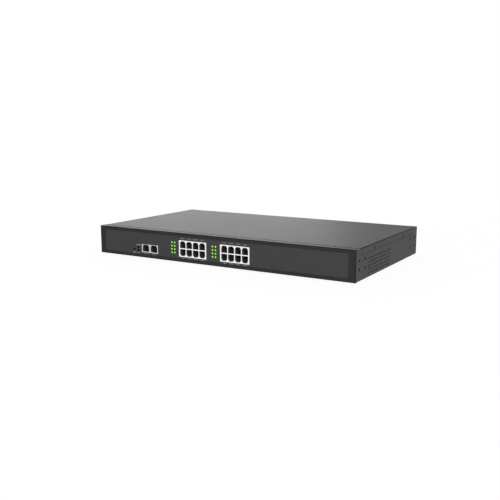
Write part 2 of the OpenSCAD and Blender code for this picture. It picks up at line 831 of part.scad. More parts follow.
module chassis_tray() {
    color("DimGray") difference() {
        union() {
            translate([-side_x, tray_y, base_z]) cube([case_w, tray_d, sheet_t]);
            translate([-side_x, tray_y, base_z]) cube([case_w, sheet_t, lid_z - base_z]);
            translate([-side_x, tray_y, lid_z]) cube([case_w, lip_d - fold_r, sheet_t]);
            translate([side_x, lip_y, top_z]) rotate([0, 0, 180]) fold_down(case_w, lip_leg);
            on_sides(0) stepped_wall(tray_d);
            on_rear(0) stepped_wall(case_w);
            on_sides(floor_z) translate([0, sheet_t, 0]) edge_fill(tray_d, fold_r - sheet_t);
            on_rear(floor_z) translate([0, sheet_t, 0]) edge_fill(case_w, fold_r - sheet_t);
        }
        on_sides(base_z) edge_round(tray_d, fold_r);
        on_rear(base_z) edge_round(case_w, fold_r);
        from_front(tray_y - cut, sheet_t + 2*cut) front_openings(wall_extra);
        at_bezel_screws() translate([0, 0, -cut])
            cylinder(h = sheet_t + 2*cut, r = bezel_screw_r + hole_gap);
        at_rack_holes() translate([0, 0, -sheet_t - cut]) cylinder(h = sheet_t + 2*cut, r = ear_hole_r);
        for (c = [0 : vent_cols - 1], r = [0 : vent_rows - 1])
            translate([-side_x - cut, vent_y + c*vent_pitch, vent_z + r*vent_pitch])
                rotate([0, 90, 0]) cylinder(h = case_w + 2*cut, r = vent_r);
        at_cover_screws() translate([0, 0, -step_in - sheet_t - cut])
            cylinder(h = step_in + sheet_t, r = screw_r + hole_gap);
        rear_openings();
    }
}

// Openings of the rear wall for the inlet, the switch and the earth screw
module rear_openings() {
    deep = sheet_t + 2*cut;
    translate([inlet_x, rear_y - sheet_t/2, mid_z])
        cube([inlet_body_w + 2*fit_gap, deep, inlet_body_h + 2*fit_gap], center = true);
    for (s = [-1, 1])
        translate([inlet_x + s*inlet_screw_pitch/2, rear_y + cut, mid_z]) rotate([90, 0, 0])
            cylinder(h = deep, r = screw_r + hole_gap);
    translate([switch_x, rear_y - sheet_t/2, mid_z])
        cube([switch_body_w + 2*fit_gap, deep, switch_body_h + 2*fit_gap], center = true);
    translate([earth_x, rear_y + cut, mid_z]) rotate([90, 0, 0]) cylinder(h = deep, r = earth_r + hole_gap);
}

module top_cover() {
    side_run = tray_d - 2*corner_w - 2*fit_gap;
    rear_run = case_w - 2*corner_w - 2*fit_gap;
    front_run = case_w - 2*(step_in + sheet_t + fit_gap);
    start = corner_w + fit_gap;
    leg = flange_h - seam_gap;
    color("Gray") difference() {
        union() {
            difference() {
                translate([-side_x, cover_y, lid_z]) cube([case_w, rear_y - cover_y, sheet_t]);
                on_sides(lid_z - cut) translate([start, -cut, 0])
                    cube([side_run, fold_r + cut, sheet_t + 2*cut]);
                on_rear(lid_z - cut) translate([start, -cut, 0])
                    cube([rear_run, fold_r + cut, sheet_t + 2*cut]);
                translate([-front_run/2, cover_y - cut, lid_z - cut])
                    cube([front_run, fold_r + cut, sheet_t + 2*cut]);
            }
            on_sides(top_z) translate([start, 0, 0]) fold_down(side_run, leg);
            on_rear(top_z) translate([start, 0, 0]) fold_down(rear_run, leg);
            translate([-front_run/2, cover_y, top_z]) fold_down(front_run, lip_leg);
        }
        at_cover_screws() {
            translate([0, 0, -sheet_t - cut]) cylinder(h = sheet_t + 2*cut, r = screw_r + hole_gap);
            translate([0, 0, screw_r - head_r])
                cylinder(h = head_r - screw_r, r1 = screw_r + thread_gap, r2 = head_r + thread_gap);
        }
    }
}

module cover_screws() {
    color("DarkSlateGray") at_cover_screws() countersunk_screw(step_in + sheet_t + clinch_h + screw_tail);
}

module cover_nuts() {
    color("Silver") at_cover_screws()
        translate([0, 0, -step_in - sheet_t]) clinch_nut(clinch_r, clinch_h, screw_r + thread_gap);
}

module rack_nuts() {
    color("Silver") at_rack_holes()
        translate([0, 0, -sheet_t]) clinch_nut(ear_nut_r, ear_nut_h, ear_hole_r);
}

module rubber_feet() {
    color("Black") for (x = [-1, 1], y = [front_y + foot_end, rear_y - foot_end])
        translate([x*(side_x - foot_side), y, 0])
            cylinder(h = foot_h, r1 = foot_r - foot_taper, r2 = foot_r);
}

// Front

module front_bezel() {
    color("DarkSlateGray") difference() {
        translate([-side_x, front_y, base_z]) cube([case_w, bezel_t, case_h]);
        translate([-side_x, front_y, base_z]) edge_round(case_w, bezel_edge_r);
        translate([-side_x, front_y, top_z]) mirror([0, 0, 1]) edge_round(case_w, bezel_edge_r);
        for (s = [0, 1])
            mirror([s, 0, 0]) translate([side_x, front_y, base_z]) rotate([0, -90, 0])
                edge_round(case_h, bezel_edge_r);
        from_front(front_y - cut, recess_d + cut) overlay_outline(fit_gap);
        from_front(front_y - cut, bezel_t + 2*cut) front_openings(0);
        at_bezel_screws() translate([0, 0, -bezel_pilot - thread_gap])
            cylinder(h = bezel_pilot + cut, r = bezel_screw_r + thread_gap);
    }
}

// Outline of the overlay, drawn in X and Z
module overlay_outline(gap) {
    translate([0, mid_z])
        round_rect(case_w - 2*border_side + 2*gap, case_h - 2*border_edge + 2*gap, overlay_r + gap);
}

module front_overlay() {
    color("SlateGray") from_front(face_y, overlay_t) difference() {
        overlay_outline(0);
        front_openings(0);
    }
}

// Every bezel screw, with +Z into the case from the bezel's rear face
module at_bezel_screws() {
    for (x = [-1, 0, 1], z = [base_z + bezel_screw_edge, lid_z - bezel_screw_edge])
        translate([x*(side_x - bezel_screw_side), tray_y, z]) rotate([-90, 0, 0]) children();
}

module bezel_screws() {
    color("Silver") at_bezel_screws()
        translate([0, 0, sheet_t]) round_screw(sheet_t + bezel_pilot, bezel_screw_r, bezel_head_r);
}

// Jacks, with x in the middle, y = 0 at the face and z = 0 on the board

// Places every cavity of a jack with z = 0 on its contact side and the latch steps above
module at_cavities(j) {
    for (c = [0 : j[0] - 1], r = [0 : j[1] - 1]) {
        upper = r == j[1] - 1;
        z = upper ? jack_h(j) - j[9] - cavity_h(j) : j[5] + cavity_h(j);
        translate([(c - (j[0] - 1)/2)*j[2], 0, z]) mirror([0, 0, upper ? 0 : 1]) children();
    }
}

// Space of one cavity: the plug and the two latch steps over it
module cavity(j, y, depth) {
    first = j[3] - 2*latch_in;
    second = first - 2*latch_step_in;
    translate([-j[3]/2, y, 0]) cube([j[3], depth, j[4]]);
    translate([-first/2, y, 0]) cube([first, depth, j[4] + latch_h/2]);
    translate([-second/2, y, 0]) cube([second, depth, cavity_h(j)]);
}

module jack_shield(j) {
    w = jack_w(j);
    difference() {
        translate([-w/2, 0, 0]) cube([w, jack_d, jack_h(j)]);
        translate([-w/2 + shield_t, shield_t, -cut])
            cube([w - 2*shield_t, jack_d - 2*shield_t, jack_h(j) - shield_t + cut]);
        at_cavities(j) cavity(j, -cut, shield_t + 2*cut);
    }
}

module jack_housing(j) {
    w = jack_w(j) - 2*shield_t - 2*thread_gap;
    difference() {
        union() {
            translate([-w/2, shield_t, 0])
                cube([w, jack_d - 2*shield_t - thread_gap, jack_h(j) - shield_t - thread_gap]);
            at_pegs(j) translate([0, 0, -pcb_t]) cylinder(h = pcb_t + cut, r = peg_r);
        }
        at_cavities(j) cavity(j, shield_t - cut, cavity_d + cut);
    }
}

// The two pegs under a jack
module at_pegs(j) {
    for (s = [-1, 1])
        translate([s*(jack_w(j)/2 - peg_side), peg_back, 0]) children();
}

module jack_contacts(j) {
    back = shield_t + cavity_d;
    tip = contact_tip;
    at_cavities(j) for (i = [0 : j[7] - 1])
        translate([(i - (j[7] - 1)/2)*contact_pitch - contact_w/2, 0, 0]) rotate([90, 0, 90])
            linear_extrude(contact_w) polygon([[back, 0], [contact_front, 0],
                [tip, contact_rise + contact_t], [tip, contact_rise],
                [contact_front + contact_bend, contact_t], [back, contact_t]]);
}

module lan_jack_housing() {
    color("Black") translate([lan_x, face_y, board_top]) jack_housing(lan_jack);
}

module lan_jack_shield() {
    color("Silver") translate([lan_x, face_y, board_top]) jack_shield(lan_jack);
}

module lan_jack_contacts() {
    color("Gold") translate([lan_x, face_y, board_top]) jack_contacts(lan_jack);
}

module line_jack_1_housing() {
    color("Black") translate([line_x[0], face_y, board_top]) jack_housing(line_jack);
}

module line_jack_1_shield() {
    color("Silver") translate([line_x[0], face_y, board_top]) jack_shield(line_jack);
}

module line_jack_1_contacts() {
    color("Gold") translate([line_x[0], face_y, board_top]) jack_contacts(line_jack);
}

module line_jack_2_housing() {
    color("Black") translate([line_x[1], face_y, board_top]) jack_housing(line_jack);
}

module line_jack_2_shield() {
    color("Silver") translate([line_x[1], face_y, board_top]) jack_shield(line_jack);
}

module line_jack_2_contacts() {
    color("Gold") translate([line_x[1], face_y, board_top]) jack_contacts(line_jack);
}

// Lamps

// Domed lamp along -Y, its rear end at the origin and its tip in the plane of the overlay
module lamp(r) {
    length = board_y + led_seat - face_y;
    rotate([90, 0, 0]) {
        cylinder(h = length - r, r = r);
        translate([0, 0, length - r]) intersection() {
            sphere(r = r);
            cylinder(h = r, r = r + cut);
        }
    }
}

// Block on the board with a blind bore behind every lamp
module lamp_holder(columns, rows, low, r) {
    w = (columns - 1)*led_pitch_x + 2*(r + led_wall);
    h = low + (rows - 1)*led_pitch_z + r + led_wall - board_top;
    difference() {
        translate([-w/2, board_y, board_top]) cube([w, led_holder_d, h]);
        at_lamps(columns, rows, low) rotate([90, 0, 0]) cylinder(h = led_seat + cut, r = r + thread_gap);
    }
}

// Rear ends of the lamps of one holder
module at_lamps(columns, rows, low) {
    for (c = [0 : columns - 1], r = [0 : rows - 1])
        translate([(c - (columns - 1)/2)*led_pitch_x, board_y + led_seat, low + r*led_pitch_z]) children();
}

module lamp_holder_1() {
    color("Black") translate([line_x[0] - led_offset, 0, 0]) lamp_holder(2, led_rows, led_z(0), led_r);
}

module line_lamps_1() {
    color("LimeGreen") translate([line_x[0] - led_offset, 0, 0]) at_lamps(2, led_rows, led_z(0)) lamp(led_r);
}

module lamp_holder_2() {
    color("Black") translate([line_x[1] - led_offset, 0, 0]) lamp_holder(2, led_rows, led_z(0), led_r);
}

module line_lamps_2() {
    color("LimeGreen") translate([line_x[1] - led_offset, 0, 0]) at_lamps(2, led_rows, led_z(0)) lamp(led_r);
}

module status_lamp_holder() {
    color("Black") translate([status_x, 0, 0]) lamp_holder(1, 2, status_z, status_r);
}

module status_lamps() {
    color("DarkGreen") translate([status_x, 0, 0]) at_lamps(1, 2, status_z) lamp(status_r);
}

// Reset

module reset_switch() {
    bore = reset_seat + reset_travel + reset_gap;
    top = 2*(reset_z - board_top);
    color("DimGray") difference() {
        translate([reset_x - reset_w/2, reset_y, board_top]) cube([reset_w, reset_d, top]);
        translate([reset_x, reset_y + bore, reset_z]) rotate([90, 0, 0])
            cylinder(h = bore + cut, r = reset_r + reset_gap);
    }
}

module reset_button() {
    color("Sienna") translate([reset_x, reset_y + reset_seat, reset_z]) rotate([90, 0, 0])
        cylinder(h = reset_seat + reset_len, r = reset_r);
}

// Main board

module main_board() {
    color("DarkGreen") difference() {
        translate([board_x, board_y, board_z]) cube([board_w, board_d, pcb_t]);
        at_board_screws() translate([0, 0, -cut]) cylinder(h = pcb_t + 2*cut, r = screw_r + hole_gap);
        board_peg_holes(lan_x, lan_jack);
        for (x = line_x)
            board_peg_holes(x, line_jack);
    }
}

// Holes in the main board for the pegs of one jack
module board_peg_holes(x, j) {
    translate([x, face_y, board_z - cut]) at_pegs(j) cylinder(h = pcb_t + 2*cut, r = peg_r + thread_gap);
}

// Screws of the boards, from the boards' underside
module at_board_screws() {
    front = face_y + jack_d + jack_screw_gap + head_r;
    for (x = [board_screw_in, board_screw_mid, board_w - board_screw_in])
        for (y = [front, board_y + board_d - board_screw_in])
            translate([board_x + x, y, board_z]) children();
}

module at_psu_screws() {
    for (x = [board_screw_in, psu_w - board_screw_in], y = [board_screw_in, psu_d - board_screw_in])
        translate([psu_x + x, psu_y + y, board_z]) children();
}

// Hexagonal standoff from the floor up to z = 0
module standoff() {
    h = board_z - floor_z;
    translate([0, 0, -h]) difference() {
        cylinder(h = h, r = standoff_r, $fn = 6);
        translate([0, 0, -cut]) cylinder(h = h + 2*cut, r = screw_r + thread_gap);
    }
}

module board_standoffs() {
    color("Goldenrod") at_board_screws() standoff();
}

module board_screws() {
    color("Silver") at_board_screws() translate([0, 0, pcb_t]) round_screw(pcb_t + board_screw_len);
}

// Places a part on the main board
module on_board(x, y) {
    translate([board_x + x, board_y + y, board_top]) children();
}

// Box standing on z = 0, centred in X and Y
module block(size) {
    translate([-size[0]/2, -size[1]/2, 0]) cube(size);
}

// Chip with leads that run out on both sides in X
module leaded_chip(size) {
    leads = floor((size[1] - lead_w)/lead_pitch);
    block(size);
    for (i = [0 : leads - 1])
        translate([0, (i - (leads - 1)/2)*lead_pitch, 0]) block([size[0] + 2*lead_reach, lead_w, lead_t]);
}

module processor() {
    lid_w = chip_w - 2*chip_border;
    color("Black") on_board(processor_x, processor_y) {
        block([chip_w, chip_w, chip_base_t]);
        block([lid_w, lid_w, chip_t]);
    }
}

module processor_heat_sink() {
    step = (sink_w - sink_fin_t)/(sink_fins - 1);
    color("SlateGray") on_board(processor_x, processor_y) translate([0, 0, chip_t]) {
        block([sink_w, sink_w, sink_base]);
        for (i = [0 : sink_fins - 1])
            translate([i*step - (sink_w - sink_fin_t)/2, 0, 0]) block([sink_fin_t, sink_w, sink_h]);
    }
}

module memory_chips() {
    color("Black") for (i = [0 : memory_count - 1])
        on_board(memory_x, memory_y + i*memory_pitch) leaded_chip([memory_w, memory_d, memory_t]);
}

// Row of parts behind both line jacks, one per column of the jacks
module behind_line_jacks(back) {
    for (x = line_x, c = [0 : line_columns - 1])
        translate([x + (c - (line_columns - 1)/2)*line_pitch, board_y + back, board_top]) children();
}

module line_driver_chips() {
    color("Black") behind_line_jacks(driver_back) leaded_chip([driver_w, driver_d, driver_t]);
}

module ringing_coils() {
    color("DimGray") behind_line_jacks(coil_back) {
        cylinder(h = coil_flange_t, r = coil_r);
        cylinder(h = coil_h, r = coil_r - coil_groove);
        translate([0, 0, coil_h - coil_flange_t]) cylinder(h = coil_flange_t, r = coil_r);
    }
}

module lan_magnetics() {
    color("Black") translate([lan_x, board_y + magnetics_back, board_top])
        leaded_chip([magnetics_w, magnetics_d, magnetics_h]);
}

// Upright capacitor with a groove around its foot
module capacitor(r, h) {
    cylinder(h = groove_low, r = r);
    cylinder(h = h, r = r - capacitor_groove);
    translate([0, 0, groove_high]) cylinder(h = h - groove_high, r = r);
}

module board_capacitors() {
    color("MidnightBlue") for (c = [0 : capacitor_columns - 1], r = [0 : capacitor_rows - 1])
        on_board(board_w - capacitor_in - c*capacitor_pitch, capacitor_y + r*capacitor_pitch)
            capacitor(capacitor_r, capacitor_h);
}

// Connector for the wires between the boards, with its latch rib towards +X
module dc_connector() {
    block([dc_w, dc_l, dc_h]);
    translate([dc_w/2, 0, 0]) block([2*rib_t, rib_w, rib_h]);
}

module board_dc_connector() {
    color("Ivory") translate([dc_board_x, dc_y, board_top]) dc_connector();
}

// Power supply

module psu_board() {
    color("Olive") difference() {
        translate([psu_x, psu_y, board_z]) cube([psu_w, psu_d, pcb_t]);
        at_psu_screws() translate([0, 0, -cut]) cylinder(h = pcb_t + 2*cut, r = screw_r + hole_gap);
    }
}

module psu_standoffs() {
    color("Goldenrod") at_psu_screws() standoff();
}

module psu_screws() {
    color("Silver") at_psu_screws() translate([0, 0, pcb_t]) round_screw(pcb_t + board_screw_len);
}

module psu_insulator() {
    over = insulator_over;
    color("Ivory") difference() {
        translate([psu_x - over, psu_y - over, floor_z]) cube([psu_w + 2*over, psu_d + 2*over, insulator_t]);
        at_psu_screws() translate([0, 0, floor_z - board_z - cut])
            cylinder(h = insulator_t + 2*cut, r = standoff_r + hole_gap);
    }
}

// Places a part on the power supply board
module on_psu(x, y) {
    translate([psu_x + x, psu_y + y, board_top]) children();
}

module psu_transformer_core() {
    color("DimGray") on_psu(transformer_x, transformer_y) difference() {
        block([transformer_w, core_d, transformer_h]);
        translate([0, 0, core_leg])
            block([transformer_w - 2*core_leg, transformer_d, transformer_h - 2*core_leg]);
    }
}

module psu_transformer_winding() {
    color("Gold") on_psu(transformer_x, transformer_y) translate([0, 0, core_leg + fit_gap])
        block([transformer_w - 2*core_leg - 2*fit_gap, transformer_d,
            transformer_h - 2*core_leg - 2*fit_gap]);
}

module psu_main_capacitor() {
    color("MidnightBlue") on_psu(bulk_x, bulk_y) capacitor(bulk_r, bulk_h);
}

module psu_output_capacitors() {
    color("MidnightBlue") for (c = [0 : output_columns - 1])
        on_psu(output_x + c*output_pitch, output_y) capacitor(output_r, output_h);
}

module psu_heat_sinks() {
    color("Silver") for (p = [[psu_sink_1_x, psu_sink_1_y], [psu_sink_2_x, psu_sink_2_y]])
        on_psu(p[0], p[1]) {
            block([psu_sink_t, psu_sink_l, psu_sink_h]);
            translate([0, 0, psu_sink_h - psu_sink_t]) block([psu_sink_edge, psu_sink_l, psu_sink_t]);
        }
}

module psu_choke() {
    wide = choke_r - choke_hole_r;
    color("Peru") on_psu(choke_x, choke_y) rotate_extrude()
        translate([choke_hole_r + wide/2, choke_h/2]) round_rect(wide, choke_h, choke_round);
}

module psu_fuse() {
    color("Ivory") on_psu(fuse_x - fuse_len/2, psu_d - fuse_back)
        translate([0, 0, fuse_r + fuse_rim]) rotate([0, 90, 0]) {
            cylinder(h = fuse_len, r = fuse_r);
            for (x = [0, fuse_len - fuse_cap])
                translate([0, 0, x]) cylinder(h = fuse_cap, r = fuse_r + fuse_rim);
        }
}

module psu_ac_connector() {
    color("Ivory") on_psu(ac_x, psu_d - ac_back) difference() {
        translate([-ac_w/2, -ac_d, 0]) cube([ac_w, ac_d, ac_h]);
        for (s = [-1, 1])
            translate([s*ac_pitch/2, -ac_d/2, ac_h - ac_well_d])
                cylinder(h = ac_well_d + cut, r = ac_well_r);
    }
}

module psu_dc_connector() {
    color("Ivory") translate([dc_psu_x, dc_y, board_top]) mirror([1, 0, 0]) dc_connector();
}

// Rear

// Outline of the inlet's cavity, drawn in X and Z, with two cut corners at the top
module inlet_outline() {
    w = inlet_cavity_w/2;
    h = inlet_cavity_h/2;
    polygon([[-w, -h], [w, -h], [w, h - inlet_chamfer], [w - inlet_chamfer, h],
        [inlet_chamfer - w, h], [-w, h - inlet_chamfer]]);
}

module mains_inlet() {
    back = rear_y - inlet_body_d;
    face = rear_y + inlet_flange_t;
    color("Black") difference() {
        union() {
            translate([inlet_x, 0, mid_z]) from_front(rear_y, inlet_flange_t)
                round_rect(inlet_flange_w, inlet_flange_h, inlet_flange_r);
            translate([inlet_x - inlet_body_w/2, back, mid_z - inlet_body_h/2])
                cube([inlet_body_w, inlet_body_d + cut, inlet_body_h]);
        }
        translate([inlet_x, 0, mid_z])
            from_front(face - inlet_cavity_d, inlet_cavity_d + cut) inlet_outline();
        at_inlet_screws() translate([0, 0, -inlet_flange_t - cut])
            cylinder(h = inlet_flange_t + 2*cut, r = screw_r + hole_gap);
        at_inlet_pins() pin_hole(back);
    }
}

// Screws of the inlet, with +Z out of the flange
module at_inlet_screws() {
    for (s = [-1, 1])
        translate([inlet_x + s*inlet_screw_pitch/2, rear_y + inlet_flange_t, mid_z])
            rotate([-90, 0, 0]) children();
}

// Middles of the inlet's pins in X and Z
module at_inlet_pins() {
    for (p = [[-pin_side, 0], [pin_side, 0], [0, pin_rise]])
        translate([inlet_x + p[0], 0, pin_z + p[1]]) children();
}

// Passage of a pin through the floor of the inlet
module pin_hole(back) {
    translate([-tab_t/2 - thread_gap, back - cut, -tab_w/2 - thread_gap])
        cube([tab_t + 2*thread_gap, inlet_body_d, tab_w + 2*thread_gap]);
}

module inlet_pins() {
    foot = rear_y + inlet_flange_t - inlet_cavity_d;
    color("Silver") at_inlet_pins() {
        translate([-pin_w/2, foot, -pin_h/2]) cube([pin_w, pin_len, pin_h]);
        translate([-tab_t/2, inlet_tab_y, -tab_w/2]) cube([tab_t, foot + cut - inlet_tab_y, tab_w]);
    }
}

module inlet_screws() {
    color("Silver") at_inlet_screws() round_screw(inlet_flange_t + sheet_t + clinch_h + screw_tail);
}

module inlet_nuts() {
    color("Silver") at_inlet_screws()
        translate([0, 0, -inlet_flange_t - sheet_t]) clinch_nut(clinch_r, clinch_h, screw_r + thread_gap);
}

module switch_housing() {
    back = rear_y - switch_body_d;
    color("Black") difference() {
        union() {
            translate([switch_x, 0, mid_z]) from_front(rear_y, switch_flange_t)
                round_rect(switch_body_w + 2*switch_lip, switch_body_h + 2*switch_lip, switch_flange_r);
            translate([switch_x - switch_body_w/2, back, mid_z - switch_body_h/2])
                cube([switch_body_w, switch_body_d + cut, switch_body_h]);
        }
        translate([switch_x - switch_in_w/2, pivot_y, mid_z]) rotate([0, 90, 0])
            cylinder(h = switch_in_w, r = rocker_r + rocker_gap);
        translate([switch_x - switch_in_w/2 - pivot_len, pivot_y, mid_z]) rotate([0, 90, 0])
            cylinder(h = switch_in_w + 2*pivot_len, r = pivot_r + fit_gap);
    }
}

// Rocker pressed in at its upper end, drawn in Y and Z about its axis
module rocker_outline() {
    far = 2*rocker_r;
    // Valley where the two faces meet
    valley = rocker_face*tan(rocker_throw/2);
    difference() {
        circle(r = rocker_r);
        polygon([[rocker_face, valley], [rocker_face, far], [far, far], [far, -far],
            [rocker_face + far*sin(rocker_throw), valley - far*cos(rocker_throw)]]);
        translate([-far - rocker_back, -far]) square([far, 2*far]);
    }
}

module switch_rocker() {
    length = switch_in_w + 2*(pivot_len - fit_gap);
    color("Black") translate([switch_x, pivot_y, mid_z]) {
        translate([-rocker_w/2, 0, 0]) rotate([90, 0, 90]) linear_extrude(rocker_w) rocker_outline();
        translate([-length/2, 0, 0]) rotate([0, 90, 0]) cylinder(h = length, r = pivot_r);
    }
}

module at_switch_tabs() {
    for (x = [-1, 1], z = [-1, 1])
        translate([switch_x + x*tab_side, switch_tab_y, mid_z + z*tab_rise]) children();
}

module switch_terminals() {
    color("Silver") at_switch_tabs() translate([-tab_t/2, 0, -tab_w/2]) cube([tab_t, tab_len, tab_w]);
}

module earth_screw() {
    color("Silver") {
        translate([earth_x, rear_y, mid_z]) rotate([-90, 0, 0]) difference() {
            union() {
                cylinder(h = washer_t, r = washer_r);
                cylinder(h = washer_t + earth_head_h, r = earth_head_r);
            }
            cross_recess(washer_t + earth_head_h);
        }
        translate([earth_x, earth_end_y, mid_z]) rotate([-90, 0, 0])
            cylinder(h = rear_y - earth_end_y, r = earth_r);
        translate([earth_x, rear_y - sheet_t - earth_nut_h, mid_z]) rotate([-90, 0, 0])
            cylinder(h = earth_nut_h, r = earth_nut_r, $fn = 6);
    }
}

// Wires

function bend(p, t) = pow(1 - t, 3)*p[0] + 3*t*pow(1 - t, 2)*p[1] + 3*t*t*(1 - t)*p[2] + pow(t, 3)*p[3];
function bend_way(p, t) = pow(1 - t, 2)*(p[1] - p[0]) + 2*t*(1 - t)*(p[2] - p[1]) + t*t*(p[3] - p[2]);
function unit(v) = v/norm(v);

// Round wire along a cubic bend; side is a direction that the wire never runs along
module wire(p, side) {
    rings = [for (i = [0 : wire_steps]) let (
            t = i/wire_steps,
            way = unit(bend_way(p, t)),
            u = unit(cross(way, side)),
            v = cross(u, way))
        for (k = [0 : wire_sides - 1])
            bend(p, t) + wire_r*(cos(360*k/wire_sides)*u + sin(360*k/wire_sides)*v)];
    last = wire_steps*wire_sides;
    faces = concat(
        [[for (k = [0 : wire_sides - 1]) k]],
        [for (i = [0 : wire_steps - 1], k = [0 : wire_sides - 1])
            let (n = (k + 1) % wire_sides, a = i*wire_sides)
            [a + k, a + wire_sides + k, a + wire_sides + n, a + n]],
        [[for (k = [wire_sides - 1 : -1 : 0]) last + k]]);
    polyhedron(rings, faces);
}

// Room that the earth wire's tilted end needs in front of its terminal
function tilt_room(reach) = wire_r*earth_arch/norm([reach, earth_arch]);

// Wire that leaves one end towards the front, and reaches the other from the front
module turned_wire(a, b, reach_a, reach_b) {
    wire([a, a + reach_a, b + reach_b, b], [0, 0, 1]);
}

module mains_wires() {
    supply_y = psu_y + psu_d - ac_back;
    supply_z = board_top + ac_h/2;
    forward = [0, -1, 0];
    up = [0, 0, 1];
    color("SaddleBrown") {
        for (s = [-1, 1]) {
            reach = forward*(s < 0 ? short_reach : long_reach);
            pin = [inlet_x + s*pin_side, inlet_tab_y, pin_z];
            tab = [switch_x - s*tab_side, switch_tab_y, mid_z];
            supply = [psu_x + ac_x - s*ac_pitch/2, supply_y, supply_z];
            turned_wire(pin, tab - up*tab_rise, reach, reach + forward*(inlet_body_d - switch_body_d));
            turned_wire(tab + up*tab_rise, supply, forward*supply_reach, -forward*supply_reach);
        }
        turned_wire(
            [inlet_x, inlet_tab_y - tilt_room(earth_reach_inlet), pin_z + pin_rise],
            [earth_x, earth_end_y - tilt_room(earth_reach_screw), mid_z],
            forward*earth_reach_inlet + up*earth_arch, forward*earth_reach_screw + up*earth_arch);
    }
}

module dc_wires() {
    rise = [0, 0, dc_arch];
    color("FireBrick") for (i = [0 : dc_pins - 1]) {
        y = dc_y + (i - (dc_pins - 1)/2)*dc_pitch;
        a = [dc_board_x, y, board_top + dc_h];
        b = [dc_psu_x, y, board_top + dc_h];
        wire([a, a + rise, b + rise, b], [0, 1, 0]);
    }
}

chassis_tray();
top_cover();
cover_screws();
cover_nuts();
rack_nuts();
rubber_feet();
front_bezel();
front_overlay();
bezel_screws();
main_board();
board_standoffs();
board_screws();
lan_jack_housing();
lan_jack_shield();
lan_jack_contacts();
line_jack_1_housing();
line_jack_1_shield();
line_jack_1_contacts();
line_jack_2_housing();
line_jack_2_shield();
line_jack_2_contacts();
lamp_holder_1();
line_lamps_1();
lamp_holder_2();
line_lamps_2();
status_lamp_holder();
status_lamps();
reset_switch();
reset_button();
processor();
processor_heat_sink();
memory_chips();
line_driver_chips();
ringing_coils();
lan_magnetics();
board_capacitors();
board_dc_connector();
psu_board();
psu_standoffs();
psu_screws();
psu_insulator();
psu_transformer_core();
psu_transformer_winding();
psu_main_capacitor();
psu_output_capacitors();
psu_heat_sinks();
psu_choke();
psu_fuse();
psu_ac_connector();
psu_dc_connector();
mains_inlet();
inlet_pins();
inlet_screws();
inlet_nuts();
switch_housing();
switch_rocker();
switch_terminals();
earth_screw();
mains_wires();
dc_wires();
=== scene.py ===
import json
import math

import bmesh
import bpy
from mathutils import Matrix, Vector


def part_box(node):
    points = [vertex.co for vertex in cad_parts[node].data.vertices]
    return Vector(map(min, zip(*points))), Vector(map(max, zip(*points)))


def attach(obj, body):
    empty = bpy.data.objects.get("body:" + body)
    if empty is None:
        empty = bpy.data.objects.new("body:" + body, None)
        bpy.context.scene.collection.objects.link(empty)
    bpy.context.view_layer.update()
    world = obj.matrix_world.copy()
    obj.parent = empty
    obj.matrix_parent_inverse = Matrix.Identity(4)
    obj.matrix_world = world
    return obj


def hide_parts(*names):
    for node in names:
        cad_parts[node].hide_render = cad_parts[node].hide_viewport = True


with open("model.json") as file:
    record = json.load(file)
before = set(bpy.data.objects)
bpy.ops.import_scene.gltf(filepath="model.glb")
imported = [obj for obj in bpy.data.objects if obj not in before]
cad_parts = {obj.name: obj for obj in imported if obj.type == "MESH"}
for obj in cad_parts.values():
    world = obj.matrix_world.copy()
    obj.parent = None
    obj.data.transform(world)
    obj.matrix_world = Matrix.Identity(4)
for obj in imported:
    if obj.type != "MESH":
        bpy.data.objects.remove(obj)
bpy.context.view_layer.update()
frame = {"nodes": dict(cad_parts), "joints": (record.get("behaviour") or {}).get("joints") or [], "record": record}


# Chassis tray
# The lower half of the case: floor, stepped walls, and a front wall with a lip folded back along its
# top, punched from one sheet of 1 mm steel and powder coated dark grey, with a fine orange-peel skin.

paint_colour = (0.056, 0.056, 0.057)
# Colour of the painted shade on folds, rounded edges and hole walls.
painted_fold_shade_colour = (0.007, 0.007, 0.007)


def shader(tree, kind, feeds=None, **settings):
    """Adds a shader node; each feed is a plain value or the socket that supplies it."""
    made = tree.nodes.new("ShaderNode" + kind)
    for name, value in settings.items():
        setattr(made, name, value)
    for socket, value in (feeds or {}).items():
        if isinstance(value, bpy.types.NodeSocket):
            tree.links.new(value, made.inputs[socket])
        else:
            made.inputs[socket].default_value = value
    return made


def math_node(tree, operation, a, b=0.0):
    """Result of one sum on two numbers."""
    return shader(tree, "Math", {0: a, 1: b}, operation=operation).outputs[0]


def spread(tree, value, low, high, start=0.0, end=1.0):
    """Maps a value that runs from start to end onto low to high, and holds it there."""
    feeds = {"Value": value, "From Min": start, "From Max": end, "To Min": low, "To Max": high}
    return shader(tree, "MapRange", feeds).outputs[0]


def blend_colours(tree, mask, low, high):
    """Colour that goes from low to high as the mask goes from 0 to 1."""
    return shader(tree, "Mix", {0: mask, 6: low, 7: high}, data_type="RGBA").outputs[2]


def tint(colour, factor=1.0):
    """Colour with an alpha of 1, made lighter or darker."""
    return tuple(part*factor for part in colour) + (1.0,)


def tones(tree, mask, colour, low, high):
    """Shades of one colour, from low to high times as bright as the mask goes from 0 to 1."""
    return blend_colours(tree, mask, tint(colour, low), tint(colour, high))


def start_effect(name, inputs, outputs):
    """Starts a node group with named numbers in and out; returns its tree and both ends."""
    tree = bpy.data.node_groups.new(name, "ShaderNodeTree")
    for socket, value in inputs.items():
        made = tree.interface.new_socket(socket, in_out="INPUT", socket_type="NodeSocketFloat")
        made.default_value = value
    for socket in outputs:
        tree.interface.new_socket(socket, in_out="OUTPUT", socket_type="NodeSocketFloat")
    return tree, tree.nodes.new("NodeGroupInput").outputs, tree.nodes.new("NodeGroupOutput").inputs


def use_effect(tree, effect, **values):
    """Places a node group in a material with its own values; returns its outputs."""
    placed = tree.nodes.new("ShaderNodeGroup")
    placed.node_tree = effect
    for name, value in values.items():
        placed.inputs[name].default_value = value
    return placed.outputs


